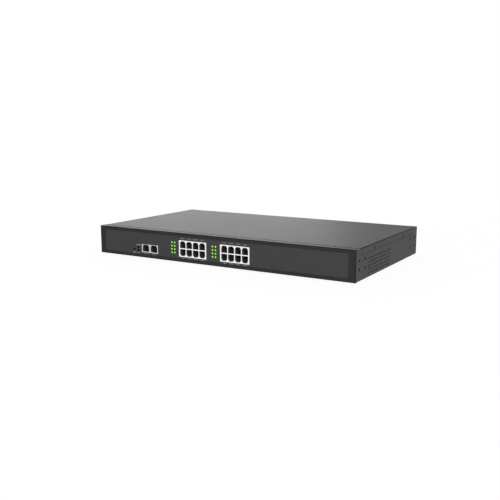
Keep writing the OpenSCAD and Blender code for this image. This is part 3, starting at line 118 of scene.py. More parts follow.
def make_skin_grain():
    """Fine grain in relief, with broad drifts in tone, over paint, plastic and rubber."""
    drifts_per_metre = 16.0
    fine_share = 0.4
    tree, given, gives = start_effect("Skin grain", {"Grain": 0.0007}, ["Height", "Tone"])
    places = shader(tree, "TexCoord").outputs["Object"]
    pitch = math_node(tree, "DIVIDE", 1.0, given["Grain"])
    fine = shader(tree, "TexNoise", {"Vector": places, "Scale": pitch, "Detail": 2.0})
    broad = shader(tree, "TexNoise", {"Vector": places, "Scale": drifts_per_metre, "Detail": 3.0})
    mixed = math_node(tree, "ADD", spread(tree, fine.outputs[0], 0.0, fine_share),
                      spread(tree, broad.outputs[0], 0.0, 1 - fine_share))
    tree.links.new(fine.outputs[0], gives["Height"])
    tree.links.new(mixed, gives["Tone"])
    return tree


def make_edge_rub():
    """Edges and corners in broken patches: finishes turn them paler as wear, and darker as painted shade."""
    patches_per_metre = 420.0
    tree, given, gives = start_effect("Edge wear and shade", {"Width": 0.0006}, ["Mask"])
    rounded = shader(tree, "Bevel", {"Radius": given["Width"]}, samples=4).outputs[0]
    facing = shader(tree, "NewGeometry").outputs["Normal"]
    feeds = {0: rounded, 1: facing}
    turn = shader(tree, "VectorMath", feeds, operation="DOT_PRODUCT").outputs["Value"]
    places = shader(tree, "TexCoord").outputs["Object"]
    noise = shader(tree, "TexNoise", {"Vector": places, "Scale": patches_per_metre, "Detail": 3.0})
    patches = spread(tree, noise.outputs[0], low=0.2, high=1.0, start=0.35, end=0.65)
    edge = spread(tree, turn, 1.0, 0.0, start=0.82, end=0.99)
    tree.links.new(math_node(tree, "MULTIPLY", edge, patches), gives["Mask"])
    return tree


def make_fold_shade():
    """Painted shade on folds, rounded edges and hole walls, by how far a face turns from the axes; 1 halfway round
    the bend.
    """
    tree, given, gives = start_effect("Fold shade", {"Start": 0.005, "End": 0.08}, ["Mask"])
    normal = shader(tree, "TexCoord").outputs["Normal"]
    sides = shader(tree, "VectorMath", {0: normal}, operation="ABSOLUTE").outputs[0]
    shares = shader(tree, "SeparateXYZ", {0: sides}).outputs
    larger = math_node(tree, "MAXIMUM", shares[0], shares[1])
    largest = math_node(tree, "MAXIMUM", larger, shares[2])
    slant = math_node(tree, "SUBTRACT", 1.0, largest)
    tree.links.new(spread(tree, slant, 0.0, 1.0, start=given["Start"], end=given["End"]), gives["Mask"])
    return tree


skin_grain = make_skin_grain()
edge_wear_and_shade_mask = make_edge_rub()
fold_shade = make_fold_shade()


def start_finish(name, specular=0.5, metallic=0.0):
    """Starts a material; returns it with its node tree and its shader's inputs."""
    material = bpy.data.materials.new(name)
    material.use_nodes = True
    face = material.node_tree.nodes["Principled BSDF"].inputs
    face["Specular IOR Level"].default_value = specular
    face["Metallic"].default_value = metallic
    return material, material.node_tree, face


def raise_relief(tree, face, height, depth, strength=0.6):
    """Turns a height into relief of that depth, in metres, on the shader's normal."""
    bump = shader(tree, "Bump", {"Strength": strength, "Distance": depth, "Height": height})
    tree.links.new(bump.outputs[0], face["Normal"])


def grained_finish(name, colour, grain, relief, roughness, specular=0.5, edge_wear_and_shade=1.6, drift=0.07):
    """Painted or moulded surface with grain, tone and gloss that drift; edges turn paler as wear where the edge
    factor is above 1, and darker as painted shade where it is below 1.
    """
    material, tree, face = start_finish(name, specular)
    skin = use_effect(tree, skin_grain, Grain=grain)
    edge_marks = use_effect(tree, edge_wear_and_shade_mask, Width=0.0006)
    toned = tones(tree, skin["Tone"], colour, low=0.88, high=1.12)
    edge_toned = blend_colours(tree, edge_marks["Mask"], toned, tint(colour, edge_wear_and_shade))
    tree.links.new(edge_toned, face["Base Color"])
    gloss = spread(tree, skin["Tone"], roughness + drift, roughness - drift)
    tree.links.new(gloss, face["Roughness"])
    raise_relief(tree, face, skin["Height"], relief)
    return material


def darken_folds(material, colour):
    """Paints shade into the base colour over folds, rounded edges and hole walls."""
    tree = material.node_tree
    coat = tree.nodes["Principled BSDF"].inputs["Base Color"]
    # The mask marks where the shade is painted.
    thin = use_effect(tree, fold_shade)
    shaded = blend_colours(tree, thin["Mask"], coat.links[0].from_socket, tint(colour))
    tree.links.new(shaded, coat)


def dress(material, *names):
    """Gives CAD pieces their finish."""
    for name in names:
        for held in frame["nodes"][name].material_slots:
            held.material = material


# Edge factor 0.5: the coat's edges are darkened as painted shade.
case_paint = grained_finish("case_powder_coat", paint_colour, grain=0.0007, relief=0.00003, roughness=0.5,
                            specular=0.03, edge_wear_and_shade=0.5, drift=0.02)
# Painted shade on the coat's folds, rounded edges and hole walls.
darken_folds(case_paint, painted_fold_shade_colour)
dress(case_paint, "chassis_tray")


# Clinch nuts
# Round steel nuts pressed into the walls behind the rack holes, the cover screws and the inlet's
# screws. Turned on an automatic lathe, which leaves rings, and zinc plated. The rack holes' nuts
# are black zinc, dark as painted shade inside the holes.

zinc_colour = (0.55, 0.56, 0.57)
black_zinc_hole_shade_colour = (0.006, 0.006, 0.0065)


def make_drawn_streaks():
    """Fine lines left by rolling, turning or brushing; each number is lines per metre on an axis."""
    inputs = {"Along X": 300.0, "Along Y": 300.0, "Along Z": 300.0}
    tree, given, gives = start_effect("Drawn streaks", inputs, ["Streak"])
    lines = shader(tree, "CombineXYZ", {i: given[i] for i in range(3)}).outputs[0]
    places = shader(tree, "TexCoord").outputs["Object"]
    stretched = shader(tree, "VectorMath", {0: places, 1: lines}, operation="MULTIPLY").outputs[0]
    noise = shader(tree, "TexNoise", {"Vector": stretched, "Scale": 1.0, "Detail": 3.0})
    tree.links.new(spread(tree, noise.outputs[0], 0.0, 1.0, start=0.3, end=0.7), gives["Streak"])
    return tree


drawn_streaks = make_drawn_streaks()


def metal_finish(name, colour, roughness, lines, depth=0.00001, metallic=1.0, specular=0.5):
    """Bare or plated metal with fine lines; lines are counts per metre along X, Y and Z."""
    material, tree, face = start_finish(name, specular, metallic)
    drawn = use_effect(tree, drawn_streaks, **{"Along X": lines[0], "Along Y": lines[1],
                                               "Along Z": lines[2]})
    toned = tones(tree, drawn["Streak"], colour, low=0.86, high=1.06)
    tree.links.new(toned, face["Base Color"])
    gloss = spread(tree, drawn["Streak"], low=roughness - 0.06, high=roughness + 0.08)
    tree.links.new(gloss, face["Roughness"])
    raise_relief(tree, face, drawn["Streak"], depth, strength=0.4)
    return material


zinc_steel = metal_finish("zinc_plated_steel", zinc_colour, roughness=0.34, lines=(2600, 900, 2600))
dress(zinc_steel, "cover_nuts", "inlet_nuts")
# Painted shade: the rack nuts are black so that the rack holes read dark.
black_zinc_hole_shade = metal_finish("black_zinc_hole_shade_steel", black_zinc_hole_shade_colour, roughness=0.5, lines=(2600, 900, 2600),
                          metallic=0.0, specular=0.1)
dress(black_zinc_hole_shade, "rack_nuts")


# Feet
# Four soft rubber discs, moulded with a rounded rim and a shallow dish in the sole, and stuck
# under the tray by their adhesive backs.

foot_colour = (0.018, 0.018, 0.019)
foot_r = 0.008
foot_sole_r = 0.0072
foot_rim_r = 0.0006
foot_edge = 0.0003
foot_draft = 0.0001
foot_steps = 64
dish_depth = 0.0005
dish_rim = 0.002
dish_slope = 0.0006


def arc(centre, radius, start, end, count):
    """Points along an arc; angles in degrees."""
    turns = [math.radians(start + (end - start)*i/(count - 1)) for i in range(count)]
    return [(centre[0] + radius*math.cos(a), centre[1] + radius*math.sin(a)) for a in turns]


def finish_mesh(name, shape, sharp=40):
    """Closes a bmesh into a mesh that is smooth up to the given angle in degrees."""
    bmesh.ops.recalc_face_normals(shape, faces=shape.faces)
    mesh = bpy.data.meshes.new(name)
    shape.to_mesh(mesh)
    shape.free()
    mesh.shade_smooth()
    mesh.set_sharp_from_angle(angle=math.radians(sharp))
    return mesh


def add_turned(shape, profile, steps, place):
    """Adds a solid of revolution; the profile runs from the axis back to it, as radius and height."""
    tip = shape.verts.new(place @ Vector((0, 0, profile[0][1])))
    tail = shape.verts.new(place @ Vector((0, 0, profile[-1][1])))
    rings = []
    for radius, height in profile[1:-1]:
        turns = [2*math.pi*k/steps for k in range(steps)]
        rings.append([shape.verts.new(place @ Vector((radius*math.cos(a), radius*math.sin(a), height)))
                      for a in turns])
    for k in range(steps):
        n = (k + 1) % steps
        shape.faces.new((tip, rings[0][k], rings[0][n]))
        shape.faces.new((tail, rings[-1][n], rings[-1][k]))
        for low, high in zip(rings, rings[1:]):
            shape.faces.new((low[k], high[k], high[n], low[n]))


def add_piece(name, mesh, material, body):
    """Adds a piece with its finish, that moves with a body."""
    piece = bpy.data.objects.new(name, mesh)
    bpy.context.scene.collection.objects.link(piece)
    mesh.materials.append(material)
    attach(piece, body)
    return piece


feet_low, feet_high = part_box("rubber_feet")
foot_h = feet_high.z
dish_r = foot_sole_r - dish_rim
feet = bmesh.new()
foot_profile = [(0, dish_depth), (dish_r - dish_slope, dish_depth), (dish_r, 0)]
foot_profile += arc((foot_sole_r - foot_rim_r, foot_rim_r), foot_rim_r, start=-90, end=0, count=7)
foot_profile += [(foot_r - foot_draft, foot_h - foot_edge), (foot_r - foot_edge, foot_h), (0, foot_h)]
for x in (feet_low.x + foot_r, feet_high.x - foot_r):
    for y in (feet_low.y + foot_r, feet_high.y - foot_r):
        add_turned(feet, foot_profile, foot_steps, Matrix.Translation((x, y, 0)))
foot_rubber = grained_finish("foot_rubber", foot_colour, grain=0.0004, relief=0.00004, roughness=0.75,
                             specular=0.3, edge_wear_and_shade=1.3)
moulded_feet = add_piece("moulded_feet", finish_mesh("moulded_feet", feet), foot_rubber, "case")
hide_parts("rubber_feet")


# Power supply
# An open board on a polyester sheet and brass standoffs: a taped transformer in a ferrite core,
# sleeved capacitors, folded heat sinks, a wound ring choke, a ceramic fuse and two connectors.

insulator_colour = (0.62, 0.58, 0.46)
brass_colour = (0.72, 0.52, 0.22)
paper_board_colour = (0.30, 0.20, 0.085)
paper_run_colour = (0.36, 0.25, 0.11)
ferrite_colour = (0.035, 0.035, 0.037)
tape_colour = (0.78, 0.56, 0.06)
tape_edge_colour = (0.35, 0.22, 0.02)
sleeve_colour = (0.012, 0.016, 0.035)
can_colour = (0.78, 0.79, 0.80)
aluminium_colour = (0.74, 0.75, 0.76)
copper_colour = (0.62, 0.23, 0.09)
core_coat_colour = (0.10, 0.22, 0.12)
ivory_colour = (0.72, 0.68, 0.56)


def make_height_band():
    """The part of a piece that lies between two heights above the floor, in metres."""
    tree, given, gives = start_effect("Height band", {"Low": 0.0, "High": 0.01}, ["Mask"])
    places = shader(tree, "TexCoord").outputs["Object"]
    height = shader(tree, "SeparateXYZ", {0: places}).outputs[2]
    over = math_node(tree, "GREATER_THAN", height, given["Low"])
    under = math_node(tree, "LESS_THAN", height, given["High"])
    tree.links.new(math_node(tree, "MULTIPLY", over, under), gives["Mask"])
    return tree


def make_board_art():
    """Copper runs and round pads under a board's lacquer."""
    run_step = 0.11
    tree, given, gives = start_effect("Board art", {"Pitch": 0.004}, ["Run", "Pad"])
    places = shader(tree, "TexCoord").outputs["Object"]
    scale = math_node(tree, "DIVIDE", 1.0, given["Pitch"])
    cells = {"Vector": places, "Scale": scale, "Randomness": 0.75}
    blocks = shader(tree, "TexVoronoi", cells, voronoi_dimensions="2D", distance="MANHATTAN")
    steps = math_node(tree, "PINGPONG", blocks.outputs["Distance"], run_step)
    runs = spread(tree, steps, 1.0, 0.0, start=0.028, end=0.04)
    dots = shader(tree, "TexVoronoi", cells, voronoi_dimensions="2D")
    pads = spread(tree, dots.outputs["Distance"], 1.0, 0.0, start=0.10, end=0.13)
    tree.links.new(runs, gives["Run"])
    tree.links.new(pads, gives["Pad"])
    return tree


def make_laid_turns():
    """Turns laid one on another up a piece; 0 between two turns and 0.5 halfway up each."""
    tree, given, gives = start_effect("Laid turns", {"Pitch": 0.001}, ["Turn"])
    places = shader(tree, "TexCoord").outputs["Object"]
    height = shader(tree, "SeparateXYZ", {0: places}).outputs[2]
    count = math_node(tree, "DIVIDE", height, given["Pitch"])
    tree.links.new(math_node(tree, "PINGPONG", count, 0.5), gives["Turn"])
    return tree


height_band = make_height_band()
board_art = make_board_art()
laid_turns = make_laid_turns()


def board_finish(name, lacquer, run, pitch):
    """Circuit board: copper runs that show through the lacquer, and tinned pads."""
    material, tree, face = start_finish(name)
    art = use_effect(tree, board_art, Pitch=pitch)
    skin = use_effect(tree, skin_grain, Grain=0.0003)
    base = tones(tree, skin["Tone"], lacquer, low=0.85, high=1.15)
    traced = blend_colours(tree, art["Run"], base, tint(run))
    padded = blend_colours(tree, art["Pad"], traced, tint(can_colour, factor=0.8))
    tree.links.new(padded, face["Base Color"])
    tree.links.new(art["Pad"], face["Metallic"])
    tree.links.new(spread(tree, skin["Tone"], low=0.42, high=0.3), face["Roughness"])
    raise_relief(tree, face, art["Run"], depth=0.00003)
    return material


def capped_finish(name, sleeve, top):
    """Capacitor: shrunk printed sleeve with the bare, scored can showing on top."""
    material, tree, face = start_finish(name)
    skin = use_effect(tree, skin_grain, Grain=0.0005)
    can_depth = 0.0002
    can = use_effect(tree, height_band, Low=top - can_depth, High=1.0)
    base = tones(tree, skin["Tone"], sleeve, low=0.8, high=1.2)
    capped = blend_colours(tree, can["Mask"], base, tint(can_colour))
    tree.links.new(capped, face["Base Color"])
    tree.links.new(can["Mask"], face["Metallic"])
    tree.links.new(spread(tree, skin["Tone"], low=0.28, high=0.4), face["Roughness"])
    raise_relief(tree, face, skin["Height"], depth=0.00002)
    return material


def wound_finish(name, colour, edge, pitch, roughness):
    """Tape laid in turns up a coil, with a dark line between the turns."""
    material, tree, face = start_finish(name)
    turns = use_effect(tree, laid_turns, Pitch=pitch)
    lap = spread(tree, turns["Turn"], 0.0, 1.0, start=0.0, end=0.12)
    skin = use_effect(tree, skin_grain, Grain=0.0006)
    base = tones(tree, skin["Tone"], colour, low=0.85, high=1.1)
    tree.links.new(blend_colours(tree, lap, tint(edge), base), face["Base Color"])
    gloss = spread(tree, skin["Tone"], low=roughness + 0.06, high=roughness - 0.06)
    tree.links.new(gloss, face["Roughness"])
    raise_relief(tree, face, lap, depth=0.00008)
    return material


polyester = grained_finish("polyester_sheet", insulator_colour, grain=0.0009, relief=0.00002,
                           roughness=0.4)
dress(polyester, "psu_insulator")
brass = metal_finish("turned_brass", brass_colour, roughness=0.26, lines=(900, 900, 4200))
dress(brass, "psu_standoffs", "board_standoffs")
dress(board_finish("paper_board", paper_board_colour, paper_run_colour, pitch=0.009), "psu_board")
dress(zinc_steel, "psu_screws", "board_screws", "bezel_screws")
ferrite = grained_finish("ferrite", ferrite_colour, grain=0.0005, relief=0.00004, roughness=0.55, edge_wear_and_shade=1.9)
dress(ferrite, "psu_transformer_core")
tape = wound_finish("winding_tape", tape_colour, tape_edge_colour, pitch=0.0062, roughness=0.35)
dress(tape, "psu_transformer_winding")
for name in ("psu_main_capacitor", "psu_output_capacitors", "board_capacitors"):
    dress(capped_finish(name + "_sleeve", sleeve_colour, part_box(name)[1].z), name)
aluminium = metal_finish("rolled_aluminium", aluminium_colour, roughness=0.36, lines=(400, 5200, 400))
dress(aluminium, "psu_heat_sinks")
ivory_plastic = grained_finish("ivory_nylon", ivory_colour, grain=0.0006, relief=0.00003, roughness=0.45,
                               edge_wear_and_shade=1.1)
dress(ivory_plastic, "psu_ac_connector", "psu_dc_connector", "board_dc_connector")


def fuse_finish(name, centre_x, tube_half):
    """Ceramic tube with a plated cap pressed on each end."""
    material, tree, face = start_finish(name)
    places = shader(tree, "TexCoord").outputs["Object"]
    along = shader(tree, "SeparateXYZ", {0: places}).outputs[0]
    out = math_node(tree, "ABSOLUTE", math_node(tree, "SUBTRACT", along, centre_x))
    cap = math_node(tree, "GREATER_THAN", out, tube_half)
    skin = use_effect(tree, skin_grain, Grain=0.0008)
    body = tones(tree, skin["Tone"], ivory_colour, low=0.95, high=1.15)
    tree.links.new(blend_colours(tree, cap, body, tint(can_colour)), face["Base Color"])
    tree.links.new(cap, face["Metallic"])
    tree.links.new(spread(tree, skin["Tone"], low=0.25, high=0.38), face["Roughness"])
    raise_relief(tree, face, skin["Height"], depth=0.00001)
    return material


fuse_low, fuse_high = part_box("psu_fuse")
fuse_cap = 0.005
fuse_middle = (fuse_low.x + fuse_high.x)/2
fuse_half = (fuse_high.x - fuse_low.x)/2
dress(fuse_finish("ceramic_fuse", fuse_middle, fuse_half - fuse_cap), "psu_fuse")


def close_rings(shape, rings):
    """Skins a chain of rings that comes back to its start."""
    for i, ring in enumerate(rings):
        after = rings[(i + 1) % len(rings)]
        for k in range(len(ring)):
            n = (k + 1) % len(ring)
            shape.faces.new((ring[k], ring[n], after[n], after[k]))


def add_loop(shape, points, radius, sides):
    """Adds a round tube along points that come back to their start."""
    off_axis = Vector((0.31, 0.17, 0.93))
    rings = []
    for i, point in enumerate(points):
        way = (points[(i + 1) % len(points)] - points[i - 1]).normalized()
        side = way.cross(off_axis).normalized()
        up = side.cross(way)
        turns = [2*math.pi*k/sides for k in range(sides)]
        rings.append([shape.verts.new(point + radius*(math.cos(a)*side + math.sin(a)*up))
                      for a in turns])
    close_rings(shape, rings)


choke_turns = 26
choke_wire_r = 0.0006
choke_low, choke_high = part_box("psu_choke")
choke_middle = (choke_low + choke_high)/2
choke_outer = (choke_high.x - choke_low.x)/2
choke_hole = 0.0045
ring_r = (choke_outer + choke_hole)/2
ring_half_w = (choke_outer - choke_hole)/2
ring_half_h = (choke_high.z - choke_low.z)/2
turn_points = 20
wire_sides = 8


def choke_point(share):
    """Point of the winding when that share of its turns is done; the ring lies flat."""
    round_ring = 2*math.pi*share
    round_core = 2*math.pi*share*choke_turns
    reach = ring_half_w - choke_wire_r
    rise = ring_half_h - choke_wire_r
    squared = 0.5
    out = math.copysign(abs(math.cos(round_core))**squared, math.cos(round_core))
    lift = math.copysign(abs(math.sin(round_core))**squared, math.sin(round_core))
    radius = ring_r + reach*out
    return choke_middle + Vector((radius*math.cos(round_ring), radius*math.sin(round_ring), rise*lift))


winding = bmesh.new()
turn_count = choke_turns*turn_points
add_loop(winding, [choke_point(i/turn_count) for i in range(turn_count)], choke_wire_r, wire_sides)
enamelled_copper = metal_finish("enamelled_copper", copper_colour, roughness=0.22,
                                lines=(2200, 2200, 2200))
choke_winding = add_piece("choke_winding", finish_mesh("choke_winding", winding, sharp=60),
                          enamelled_copper, "case")
core = bmesh.new()
core_gap = 0.0002
core_round = 0.0008
core_steps = 72
core_half_w = ring_half_w - 2*choke_wire_r - core_gap
core_half_h = ring_half_h - 2*choke_wire_r - core_gap
corners = [(1, 1, 0), (-1, 1, 90), (-1, -1, 180), (1, -1, 270)]
section = []
for right, up, start in corners:
    middle = (ring_r + right*(core_half_w - core_round), up*(core_half_h - core_round))
    section += arc(middle, core_round, start, start + 90, count=5)
core_rings = []
for i in range(core_steps):
    a = 2*math.pi*i/core_steps
    core_rings.append([core.verts.new(choke_middle + Vector((r*math.cos(a), r*math.sin(a), h)))
                       for r, h in section])
close_rings(core, core_rings)
choke_core_coat = grained_finish("choke_core_coat", core_coat_colour, grain=0.0006, relief=0.00003,
                                 roughness=0.45)
add_piece("choke_core", finish_mesh("choke_core", core), choke_core_coat, "case")
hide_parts("psu_choke")


# Main board
# A green glass-fibre board on six standoffs, with the processor under a black finned heat sink,
# memory, one line driver and one drum coil behind each column of sockets, and a row of capacitors.

lacquer_colour = (0.012, 0.085, 0.035)
lacquer_run_colour = (0.03, 0.15, 0.065)
epoxy_colour = (0.014, 0.014, 0.015)
tin_colour = (0.62, 0.62, 0.61)
anodised_colour = (0.022, 0.022, 0.024)
lead_t = 0.00032
lead_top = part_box("main_board")[1].z + lead_t


def leaded_finish(name, colour):
    """Chip moulded in black epoxy, with tinned leads along its foot."""
    material, tree, face = start_finish(name, specular=0.4)
    skin = use_effect(tree, skin_grain, Grain=0.0002)
    leads = use_effect(tree, height_band, Low=0.0, High=lead_top)
    body = tones(tree, skin["Tone"], colour, low=0.8, high=1.3)
    tree.links.new(blend_colours(tree, leads["Mask"], body, tint(tin_colour)), face["Base Color"])
    tree.links.new(leads["Mask"], face["Metallic"])
    tree.links.new(spread(tree, skin["Tone"], low=0.5, high=0.38), face["Roughness"])
    raise_relief(tree, face, skin["Height"], depth=0.00001)
    return material


def drum_finish(name, low, high):
    """Ferrite drum with a copper winding between its two flanges."""
    material, tree, face = start_finish(name)
    flange = 0.0014
    wire = 0.0005
    band = use_effect(tree, height_band, Low=low + flange, High=high - flange)
    skin = use_effect(tree, skin_grain, Grain=0.0004)
    turns = use_effect(tree, laid_turns, Pitch=wire)
    wires = tones(tree, turns["Turn"], copper_colour, low=0.4, high=1.1)
    drum = tones(tree, skin["Tone"], ferrite_colour, low=0.85, high=1.2)
    tree.links.new(blend_colours(tree, band["Mask"], drum, wires), face["Base Color"])
    tree.links.new(spread(tree, band["Mask"], low=0.6, high=0.3), face["Roughness"])
    raise_relief(tree, face, math_node(tree, "MULTIPLY", turns["Turn"], band["Mask"]), depth=0.0002)
    return material


glass_fibre = board_finish("glass_fibre_board", lacquer_colour, lacquer_run_colour, pitch=0.005)
dress(glass_fibre, "main_board")
dress(leaded_finish("chip_epoxy", epoxy_colour), "memory_chips", "line_driver_chips", "lan_magnetics")
processor_lid = grained_finish("processor_lid", epoxy_colour, grain=0.0003, relief=0.00001,
                               roughness=0.4)
dress(processor_lid, "processor")
black_anodising = grained_finish("black_anodising", anodised_colour, grain=0.0005, relief=0.00002,
                                 roughness=0.42, edge_wear_and_shade=3.0)
dress(black_anodising, "processor_heat_sink")
coil_low, coil_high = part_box("ringing_coils")
dress(drum_finish("drum_coil", coil_low.z, coil_high.z), "ringing_coils")


# Jacks
# Two network sockets side by side, and two blocks of eight line sockets in two rows. Each block is a
# black nylon body with gold-plated spring contacts, in a sheet shield: bright nickel plate for the
# lines, greyer tin plate for the network.

nickel_colour = (0.96, 0.96, 0.95)
tin_plate_colour = (0.60, 0.60, 0.595)
nylon_colour = (0.08, 0.08, 0.081)
gold_colour = (0.60, 0.44, 0.18)
nickel_plate = metal_finish("nickel_plated_sheet", nickel_colour, roughness=0.3, lines=(120, 900, 1600),
                            depth=0.000006)
tin_plate = metal_finish("tin_plated_sheet", tin_plate_colour, roughness=0.36, lines=(120, 900, 1600),
                         depth=0.000006)
black_nylon = grained_finish("black_nylon", nylon_colour, grain=0.0004, relief=0.00003, roughness=0.6,
                             specular=0.2)
gold_plate = metal_finish("gold_plate", gold_colour, roughness=0.2, lines=(3000, 300, 3000),
                          depth=0.000004)
for jack, plate in (("lan_jack", tin_plate), ("line_jack_1", nickel_plate),
                    ("line_jack_2", nickel_plate)):
    dress(plate, jack + "_shield")
    dress(black_nylon, jack + "_housing")
    dress(gold_plate, jack + "_contacts")


# Lamps
# Round-nosed light guides of tinted resin, pushed into black holders on the board. The sixteen line
# lamps are lit green; the two status lamps are dark.

lamp_core_colour = (0.50, 0.82, 0.29)
lamp_rim_colour = (0.06, 0.16, 0.02)
dark_lamp_colour = (0.002, 0.003, 0.002)


def make_facing_share():
    """Faces that look the way X, Y, Z; the mask goes from 0 to 1 as they turn to it."""
    inputs = {"X": 0.0, "Y": 0.0, "Z": 0.0, "Start": 0.1, "End": 0.85}
    tree, given, gives = start_effect("Facing share", inputs, ["Mask"])
    way = shader(tree, "CombineXYZ", {i: given[i] for i in range(3)}).outputs[0]
    feeds = {0: shader(tree, "TexCoord").outputs["Normal"], 1: way}
    turn = shader(tree, "VectorMath", feeds, operation="DOT_PRODUCT").outputs["Value"]
    tree.links.new(spread(tree, turn, 0.0, 1.0, start=given["Start"], end=given["End"]), gives["Mask"])
    return tree


facing_share = make_facing_share()


def lit_finish(name, core_colour, rim_colour):
    """Lit resin: bright on the nose, where the light comes straight out, and deeper at the sides."""
    material, tree, face = start_finish(name)
    nose = use_effect(tree, facing_share, Y=-1.0, Start=0.1, End=0.85)
    skin = use_effect(tree, skin_grain, Grain=0.0004)
    glow = blend_colours(tree, nose["Mask"], tint(rim_colour), tint(core_colour))
    tree.links.new(glow, face["Emission Color"])
    face["Emission Strength"].default_value = 1.0
    face["Base Color"].default_value = tint(rim_colour, factor=0.5)
    tree.links.new(spread(tree, skin["Tone"], low=0.15, high=0.3), face["Roughness"])
    return material


dress(black_nylon, "lamp_holder_1", "lamp_holder_2", "status_lamp_holder")
lit_resin = lit_finish("lit_green_resin", lamp_core_colour, lamp_rim_colour)
dress(lit_resin, "line_lamps_1", "line_lamps_2")
dark_resin = grained_finish("dark_green_resin", dark_lamp_colour, grain=0.0004, relief=0.00001,
                            roughness=0.3, specular=0.05)
dress(dark_resin, "status_lamps")


# Reset
# A small push switch on the board, its body of grey metal, with a brown plastic button that is
# reached through a pinhole in the front.

switch_can_colour = (0.45, 0.45, 0.46)
button_colour = (0.020, 0.009, 0.005)
switch_can = metal_finish("switch_can", switch_can_colour, roughness=0.4, lines=(900, 900, 2600))
dress(switch_can, "reset_switch")
button_plastic = grained_finish("button_plastic", button_colour, grain=0.0003, relief=0.00002,
                                roughness=0.4, specular=0.2)
dress(button_plastic, "reset_button")


# Front bezel
# A plate moulded in dark grey plastic with a spark-eroded grain, screwed on from behind, with a
# shallow recess for the overlay. Its sides are sprayed to match the case.

bezel_colour = (0.036, 0.036, 0.0365)
# Edge factor 0.8: the bezel's edges are darkened as painted shade.
bezel_plastic = grained_finish("bezel_plastic", bezel_colour, grain=0.0005, relief=0.00005,
                               roughness=0.58, specular=0.03, edge_wear_and_shade=0.8)


def spray_sides(material, colour):
    """Sprays the faces that look neither to the front nor up."""
    tree = material.node_tree
    plain = tree.nodes["Principled BSDF"].inputs["Base Color"]
    front = use_effect(tree, facing_share, Y=-1.0, Start=0.2, End=0.4)
    top = use_effect(tree, facing_share, Z=1.0, Start=0.5, End=0.9)
    bare = math_node(tree, "MAXIMUM", front["Mask"], top["Mask"])
    tree.links.new(blend_colours(tree, bare, tint(colour), plain.links[0].from_socket), plain)


spray_sides(bezel_plastic, paint_colour)
# Painted shade on the bezel's rounded edges.
darken_folds(bezel_plastic, painted_fold_shade_colour)
dress(bezel_plastic, "front_bezel")


# Overlay
# A polycarbonate film with a fine matt face, stuck into the bezel's recess. Numbers and words are
# screen printed on it in pale grey ink. A soft green field of painted glow lies round each bank of
# line lamps, and a black ring of painted shade round the reset hole and each status lamp.

overlay_colour = (0.050, 0.050, 0.0505)
lamp_glow_colour = (0.034, 0.090, 0.008)
lamp_glow_half_w = 0.0042
lamp_glow_half_h = 0.0092
lamp_glow_fade = 0.0014
hole_shade_colour = (0.002, 0.002, 0.002)
hole_shade_reach = 0.0005
hole_shade_fade = 0.0003
ink_colour = (0.62, 0.62, 0.62)
ink_t = 0.00003
number_h = 0.0017
tick_w = 0.0016
tick_h = 0.00035
tick_out = 0.0026
line_ports = 16
upper_row_z = 0.0386
lower_row_z = 0.0089
network_row_z = 0.0086
reset_word_z = 0.0090
power_word_z = 0.0091
system_word_z = 0.0213
overlay_film = grained_finish("overlay_film", overlay_colour, grain=0.00035, relief=0.00001,
                              roughness=0.5, specular=0.15, edge_wear_and_shade=1.15)


def make_soft_field():
    """Soft-edged upright field on the front: middle, half its size, rounding and fade, in metres."""
    inputs = {"X": 0.0, "Z": 0.0, "Half width": 0.005, "Half height": 0.01, "Round": 0.0, "Fade": 0.001}
    tree, given, gives = start_effect("Soft field", inputs, ["Mask"])
    places = shader(tree, "SeparateXYZ", {0: shader(tree, "TexCoord").outputs["Object"]}).outputs
    beyond = []
    for axis, middle, half in ((0, "X", "Half width"), (2, "Z", "Half height")):
        out = math_node(tree, "ABSOLUTE", math_node(tree, "SUBTRACT", places[axis], given[middle]))
        beyond.append(math_node(tree, "MAXIMUM", math_node(tree, "SUBTRACT", out, given[half]), 0.0))
    squares = [math_node(tree, "MULTIPLY", value, value) for value in beyond]
    gap = math_node(tree, "SQRT", math_node(tree, "ADD", *squares))
    end = math_node(tree, "ADD", given["Round"], given["Fade"])
    tree.links.new(spread(tree, gap, 1.0, 0.0, start=given["Round"], end=end), gives["Mask"])
    return tree


soft_field = make_soft_field()


def print_field(material, colour, x, z, **values):
    """Paints a soft field of colour with its middle at a place on the front; it carries the painted glow round the
    lamps and the painted shade round the holes.
    """
    tree = material.node_tree
    plain = tree.nodes["Principled BSDF"].inputs["Base Color"]
    field = use_effect(tree, soft_field, X=x, Z=z, **values)
    printed = blend_colours(tree, field["Mask"], plain.links[0].from_socket, tint(colour))
    tree.links.new(printed, plain)


# Painted glow of the lit line lamps, spread over the film round each bank.
for bank in ("line_lamps_1", "line_lamps_2"):
    low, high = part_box(bank)
    print_field(overlay_film, lamp_glow_colour, (low.x + high.x)/2, (low.z + high.z)/2,
                **{"Half width": lamp_glow_half_w, "Half height": lamp_glow_half_h, "Fade": lamp_glow_fade})
lamps_low, lamps_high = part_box("status_lamps")
button_low, button_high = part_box("reset_button")
status_x = (lamps_low.x + lamps_high.x)/2
status_r = (lamps_high.x - lamps_low.x)/2
reset_x = (button_low.x + button_high.x)/2
reset_z = (button_low.z + button_high.z)/2
reset_r = 0.0013
rings = [(status_x, lamps_low.z + status_r, status_r), (status_x, lamps_high.z - status_r, status_r),
         (reset_x, reset_z, reset_r)]
# Painted shade: a soft black ring round each status lamp and the reset hole, where the holes fall dark.
for x, z, hole_r in rings:
    print_field(overlay_film, hole_shade_colour, x, z,
                **{"Half width": 0.0, "Half height": 0.0, "Round": hole_r + hole_shade_reach, "Fade": hole_shade_fade})
dress(overlay_film, "front_overlay")


def facing(origin, right, up):
    """Place of a flat mark, from its middle and the ways that it reads and stands."""
    right = Vector(right).normalized()
    up = Vector(up).normalized()
    place = Matrix((right, up, right.cross(up))).transposed().to_4x4()
    place.translation = origin
    return place


